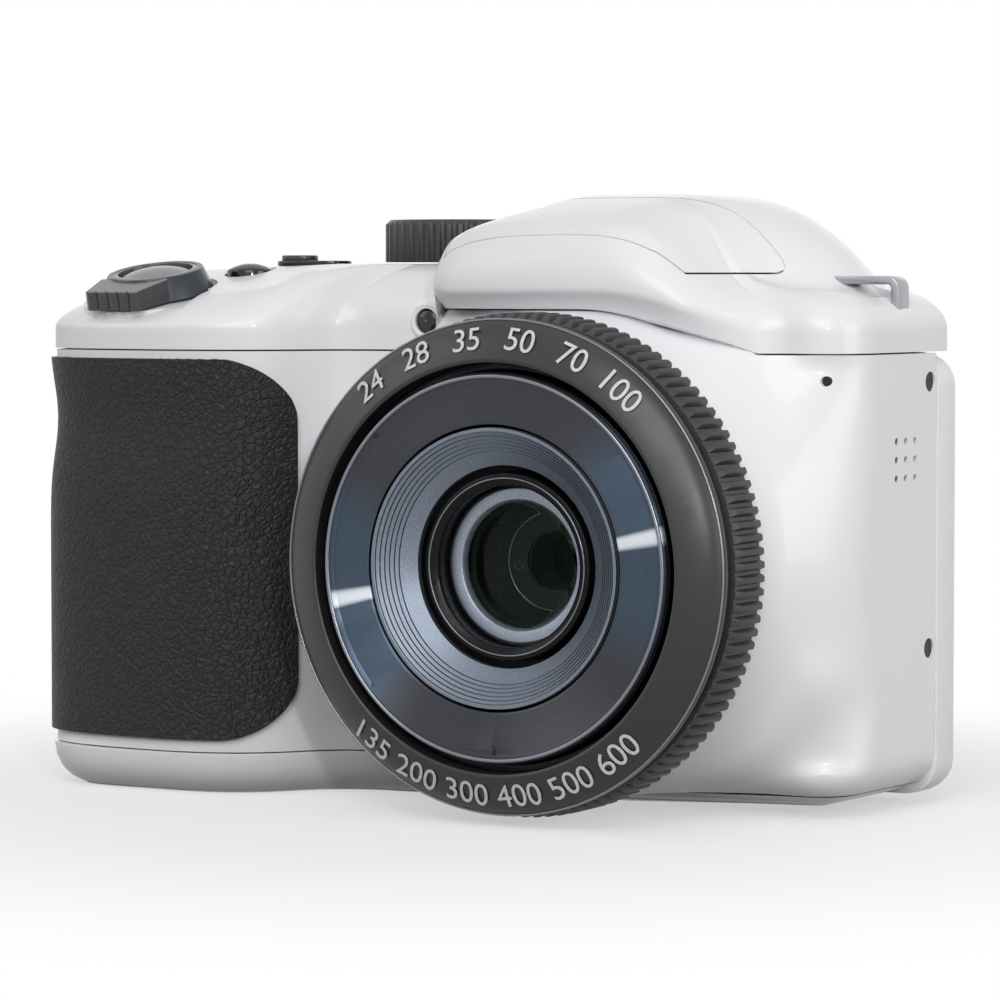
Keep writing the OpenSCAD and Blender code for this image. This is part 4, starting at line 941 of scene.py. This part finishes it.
class CAMERA_OT_grip(bpy.types.Operator):
    """Lays the leather-grain rubber over the grip"""

    bl_idname = "camera_part.grip"
    bl_label = "Grip Rubber"

    def execute(self, context):
        c = shape()
        f = finishes()
        p = context.scene.camera_grip
        low, high = c.tray_z + 1.7, c.seam_z - 1.2
        edge, r, proud = p.edge / MM, p.corner / MM, p.proud / MM
        turns = [math.radians(a) for a in np.linspace(0, 90, 14)]
        corner = [(high - r + r * math.sin(a), edge - r + r * math.cos(a)) for a in turns]
        middle = [(mix(low + r, high - r, s), edge) for s in steps(26)[1:-1]]
        levels = [(low + high - z, x) for z, x in reversed(corner)] + middle + corner
        rows = []
        for z, start in levels:
            line = [q for q in c.left_line(z) if q[1] < -c.grip_y + 11.6 or q[0] > -60]
            xs = [q[0] for q in line]
            k = next(i for i, x in enumerate(xs) if x < start)
            share = (start - xs[k - 1]) / (xs[k] - xs[k - 1])
            first = (start, mix(line[k - 1][1], line[k][1], share))
            line = spread([first] + line[k:], steps(74))
            rows.append([(x + n[0] * proud, y + n[1] * proud, z) for (x, y), n in zip(line, side_normals(line, 1))])
        obj = loose(fronted(loft(rows, False)), "rubber")
        thicken(obj, p.proud - 0.05 * MM)
        bm = bmesh.new()
        bm.from_mesh(obj.data)
        soften(bm, 0.32, 60.0, 3)
        bm.to_mesh(obj.data)
        bm.free()
        piece(obj, "grip_rubber_skin", "camera_body", f["rubber"], ["grip_rubber"], 50.0)
        return {"FINISHED"}


class CAMERA_OT_lens(bpy.types.Operator):
    """Finishes the lens rings, baffle and glass, and prints the numerals on the bezel"""

    bl_idname = "camera_part.lens"
    bl_label = "Lens"

    numerals: StringProperty(
        name="Numerals", description="Numbers printed round the bezel",
        default="24 28 35 50 70 100 135 200 300 400 500 600",
    )

    def execute(self, context):
        f = finishes()
        for node, finish in {
            "lens_bezel": "bezel", "knurled_ring": "knurl", "dust_seal": "inner", "zoom_barrel": "tube",
            "barrel_trim": "spun", "nose_barrel": "inner", "lens_cell": "cell", "retaining_ring": "ring",
        }.items():
            refined(node, f[finish], 0.1)
        refined("front_glass", f["glass"], 0.0)
        self.turn_baffle(context, f["baffle"])
        self.turn_rims(context, f["rim"])
        self.print_numerals(context, f["paint"])
        return {"FINISHED"}

    def turn_baffle(self, context, metal):
        """The dished baffle: narrow grooves between broad lands near its rim, then a plain slope to the glass cell."""
        p = context.scene.camera_lens
        z, front = p.axis_z / MM, -p.front / MM
        outer, inner = (p.nose_r / MM - 0.1, front + 0.1), (11.8, front + 3.4)
        rim = outer[0] - 0.35
        slope = (inner[1] - outer[1]) / (rim - inner[0])
        profile = [(outer[0], outer[1] + 0.4), outer, (rim, outer[1])]
        for i in range(6):
            r = rim - 0.08 - i * 0.44
            y = outer[1] + (rim - r) * slope
            profile += [(r, y), (r - 0.02, y + 0.26), (r - 0.1, y + 0.26), (r - 0.12, y + 0.12 * slope - 0.02)]
        profile += [inner, (inner[0], inner[1] + 0.8), (rim, outer[1] + 1.4)]
        piece(spun(profile, z), "ribbed_baffle_skin", "nose_stage", metal, ["ribbed_baffle"], 25.0)

    def turn_rims(self, context, metal):
        """Bright turned edges: round the bezel, the zoom barrel and the glass cell, and two round the iris."""
        p = context.scene.camera_lens
        z, front = p.axis_z / MM, -p.front / MM
        for name, body, r, y, wide in (
            ("bezel_rim", "camera_body", p.knurl_r / MM - 0.75, front + 2.22, 0.15),
            ("barrel_rim", "zoom_stage", p.barrel_r / MM - 0.45, front - 0.02, 0.26),
            ("cell_rim", "nose_stage", 10.3, front + 3.46, 0.1),
            ("iris_rim", "nose_stage", 5.0, front + 15.95, 0.08),
            ("iris_edge", "nose_stage", 3.05, front + 16.5, 0.08),
        ):
            ring = spun(arc((r, y), wide, 0, 360, 16), z)
            piece(ring, name, body, metal)

    def print_numerals(self, context, ink):
        """Lays the numerals on the bezel's slope: one half above, the other below and upright there."""
        p = context.scene.camera_lens
        words = self.numerals.split()
        whole = bmesh.new()
        r = (p.barrel_r + p.knurl_r) / 2 + 0.35 * MM
        slope, half = math.atan2(1.45, 4.0), len(words) // 2
        seat = Matrix.Translation((0, -p.front - Casing.bezel_lead * MM + 0.62 * MM, p.axis_z))
        stand = Matrix.Rotation(math.radians(90), 4, "X")
        for i, word in enumerate(words):
            share = (i % half + 0.5) / half - 0.5
            angle = math.radians(92 * share if i < half else 180 - 92 * share) - (math.pi if i >= half else 0.0)
            text = bpy.data.curves.new("numeral", "FONT")
            text.body = word
            text.size = p.numeral * 1.36
            text.align_x, text.align_y = "CENTER", "CENTER"
            text.extrude = 0.03 * MM
            obj = bpy.data.objects.new("numeral", text)
            context.scene.collection.objects.link(obj)
            mesh = bpy.data.meshes.new_from_object(obj.evaluated_get(context.evaluated_depsgraph_get()))
            lie = Matrix.Rotation(-slope if i < half else slope, 4, "X")
            out = Matrix.Translation((0, 0, r if i < half else -r))
            mesh.transform(seat @ Matrix.Rotation(angle, 4, "Y") @ out @ lie @ stand)
            whole.from_mesh(mesh)
            bpy.data.objects.remove(obj)
            bpy.data.curves.remove(text)
            bpy.data.meshes.remove(mesh)
        piece(whole, "bezel_numerals", "camera_body", ink)


class CAMERA_OT_controls(bpy.types.Operator):
    """Finishes the buttons, dial, lever, lugs, screws and the other covers"""

    bl_idname = "camera_part.controls"
    bl_label = "Controls and Covers"

    def execute(self, context):
        f = finishes()
        for node, finish in {
            "rear_cover": "white", "bottom_cover": "white", "battery_door": "white", "zoom_lever": "control",
            "shutter_button": "button", "burst_button": "gloss", "power_plate": "gloss", "power_button": "control",
            "mode_dial": "dial", "strap_lugs": "steel", "case_screws": "inner", "lamp_window": "gloss",
            "record_button": "control", "menu_button": "control", "play_button": "control",
            "delete_button": "control", "nav_pad": "control", "ok_button": "control", "screen_window": "gloss",
            "door_latch": "control", "tripod_bush": "steel",
        }.items():
            obj = refined(node, f[finish], 0.15)
            if node == "zoom_lever":
                self.lobe_tab(obj, f["tube"])
            if node == "bottom_cover":
                for v in obj.data.vertices:
                    v.co.z = CAMERA_OT_front.lifted(v.co.x / MM, v.co.z / MM) * MM
        return {"FINISHED"}

    def lobe_tab(self, lever, metal):
        """Gives the lever a tab with five lobes that rises to a polished ring."""
        lobes = [
            (x + 0.78 * t, -9.9 - 0.42 * math.cos(math.pi / 2 * t))
            for x in (-3.12, -1.56, 0, 1.56, 3.12) for t in (-1, -0.7, -0.35, 0, 0.35, 0.7)
        ]
        back = arc((0, 0), 5.4, -42, -138, 16)
        tab = prism(lobes + [(3.9, -9.9), (5.0, -4.8)] + back + [(-5.0, -4.8)], 0.28, 3.2, "Z")
        for v in tab.verts:
            if v.co.z > MM:
                v.co.z += 0.085 * (v.co.y + 3.6 * MM)
        soften(tab, 0.12, 60)
        carve(lever, [turned(prism(rect(-5, -11, 5, -7.05), 0, 5, "Z"), SHUTTER)])
        carve(lever, [turned(tab, SHUTTER)], "UNION")
        section = [(6.8, 0.5), (7.05, 0.34), (6.1, 3.0), (5.93, 3.22), (5.3, 3.26), (5.2, 3.0), (6.8, 0.5)]
        ring = outward(loft([[(x, y, z) for x, y in arc((0, 0), r, 0, 360, 96)] for r, z in section]))
        piece(turned(ring, SHUTTER), "lever_ring", body_of("zoom_lever"), metal)


class CAMERA_OT_inside(bpy.types.Operator):
    """Gives the parts inside their finishes"""

    bl_idname = "camera_part.inside"
    bl_label = "Inside"

    def execute(self, context):
        f = finishes()
        for finish, nodes in {
            "steel": "chassis_plate guide_rods flash_bracket flash_pin card_socket zoom_motor screen_module "
            "microphone door_pin",
            "inner": "fixed_barrel iris_unit focus_carriage speaker cell_holder",
            "rubber": "key_mat",
            "board": "sensor_board switch_board main_board",
            "brass": "cell_contacts",
            "jacket": "cells",
            "glass": "focus_glass",
            "clear": "flash_window flash_tube",
            "mirror": "flash_reflector",
            "gloss": "image_sensor",
        }.items():
            for node in nodes.split():
                NODES[node].data.materials.clear()
                NODES[node].data.materials.append(f[finish])
        return {"FINISHED"}


class CAMERA_OT_stage(bpy.types.Operator):
    """Sets the floor, the soft lights, the white surround and the camera"""

    bl_idname = "camera_part.stage"
    bl_label = "Stage"

    def execute(self, context):
        p = context.scene.camera_stage
        self.floor(context, p)
        self.lights(context)
        self.surround(context)
        cam = bpy.data.cameras.new("view")
        cam.lens, cam.sensor_width = p.focal, 36
        obj = bpy.data.objects.new("view", cam)
        context.scene.collection.objects.link(obj)
        obj.location = p.place
        flat = math.cos(p.elevation)
        back = Vector((math.sin(p.azimuth) * flat, -math.cos(p.azimuth) * flat, math.sin(p.elevation)))
        obj.rotation_euler = (-back).to_track_quat("-Z", "Y").to_euler()
        cam.clip_start, cam.clip_end = 0.01, 20
        context.scene.camera = obj
        context.scene.view_settings.view_transform = "Standard"
        return {"FINISHED"}

    def seen(self, tree):
        """1 for rays that show the surround: from the camera, off gloss and through glass."""
        path = add(tree, "LightPath").outputs
        both = add(tree, "Math", {0: path["Is Camera Ray"], 1: path["Is Transmission Ray"]}, operation="MAXIMUM")
        return add(tree, "Math", {0: both, 1: path["Is Glossy Ray"]}, operation="MAXIMUM")

    def floor(self, context, p):
        """Matt paper: white to the camera, with the object's shadow near its middle, and dim to all other rays."""
        bm = bmesh.new()
        bmesh.ops.create_grid(bm, x_segments=1, y_segments=1, size=3.0)
        obj = loose(bm, "floor")
        m, tree, shader, coords = material("paper_matt_white", {"Roughness": 0.9})
        seen = self.seen(tree)
        tone = add(tree, "MixRGB", {"Fac": seen, "Color1": shade(tuple(p.floor), 0.12), "Color2": tuple(p.floor)})
        link(tree, shader, {"Base Color": tone})
        centred = add(tree, "VectorMath", {0: coords, 1: (0.018, 0.008, 0.0)}, operation="ADD")
        away = add(tree, "VectorMath", {0: centred}, operation="LENGTH")
        far = add(tree, "MapRange", {
            "Value": away.outputs["Value"], "From Min": 0.045, "From Max": 0.14, "To Min": 0.5,
        }, interpolation_type="SMOOTHSTEP")
        lit = add(tree, "Math", {0: far, 1: seen}, operation="MULTIPLY")
        white = add(tree, "Emission", {"Color": (1, 1, 1, 1), "Strength": 1.0})
        both = add(tree, "MixShader", {0: lit, 1: shader, 2: white})
        add(tree, "OutputMaterial", {"Surface": both}, is_active_output=True)
        obj.data.materials.append(m)

    def lights(self, context):
        """Square lamps that point at the middle of the camera."""
        middle = Vector((-0.015, -0.01, 0.035))
        for name, place, size, power in (
            ("key", (0.36, -0.95, 0.7), 0.7, 6.2),
            ("left", (-0.85, -0.6, 0.6), 0.6, 1.4),
            ("top", (0.0, -0.3, 1.0), 0.7, 0.5),
            ("side", (0.95, -0.1, 0.2), 0.5, 3.0),
            ("spark", (0.62, -0.8, 0.3), 0.05, 1.6),
            ("rear", (-0.5, 1.0, 0.12), 0.9, 1.3),
        ):
            lamp = bpy.data.lights.new(name, "AREA")
            lamp.size, lamp.energy = size, power
            obj = bpy.data.objects.new(name, lamp)
            context.scene.collection.objects.link(obj)
            obj.location = place
            obj.rotation_euler = (middle - Vector(place)).to_track_quat("-Z", "Y").to_euler()

    def surround(self, context):
        """White where it is seen, and a dim fill otherwise."""
        world = bpy.data.worlds.new("surround")
        world.use_nodes = True
        tree = world.node_tree
        tree.nodes.clear()
        dim = add(tree, "Background", {"Color": (1, 1, 1, 1), "Strength": 0.25})
        bright = add(tree, "Background", {"Color": (1, 1, 1, 1), "Strength": 1.0})
        both = add(tree, "MixShader", {0: self.seen(tree), 1: dim, 2: bright})
        add(tree, "OutputWorld", {"Surface": both})
        context.scene.world = world


class CAMERA_PT_panel(bpy.types.Panel):
    """Lists the pieces of the bridge camera"""

    bl_label = "Bridge Camera"
    bl_idname = "CAMERA_PT_panel"
    bl_space_type = "VIEW_3D"
    bl_region_type = "UI"
    bl_category = "Camera"

    def draw(self, context):
        for group in GROUPS:
            props = getattr(context.scene, group)
            box = self.layout.box()
            for key in props.__annotations__:
                box.prop(props, key)
        for operator in OPERATORS:
            self.layout.operator(operator.bl_idname)


GROUPS = {"camera_casing": CasingProps, "camera_lens": LensProps, "camera_grip": GripProps, "camera_stage": StageProps}
OPERATORS = (
    CAMERA_OT_stage, CAMERA_OT_front, CAMERA_OT_top, CAMERA_OT_flash, CAMERA_OT_grip, CAMERA_OT_lens,
    CAMERA_OT_controls, CAMERA_OT_inside,
)
CLASSES = (*GROUPS.values(), *OPERATORS, CAMERA_PT_panel)


def register():
    for cls in CLASSES:
        bpy.utils.register_class(cls)
    for key, cls in GROUPS.items():
        setattr(bpy.types.Scene, key, PointerProperty(type=cls))


def unregister():
    for key in GROUPS:
        delattr(bpy.types.Scene, key)
    for cls in reversed(CLASSES):
        bpy.utils.unregister_class(cls)


def main():
    register()
    for operator in OPERATORS:
        getattr(bpy.ops.camera_part, operator.bl_idname.split(".")[1])()


if __name__ == "__main__":
    main()
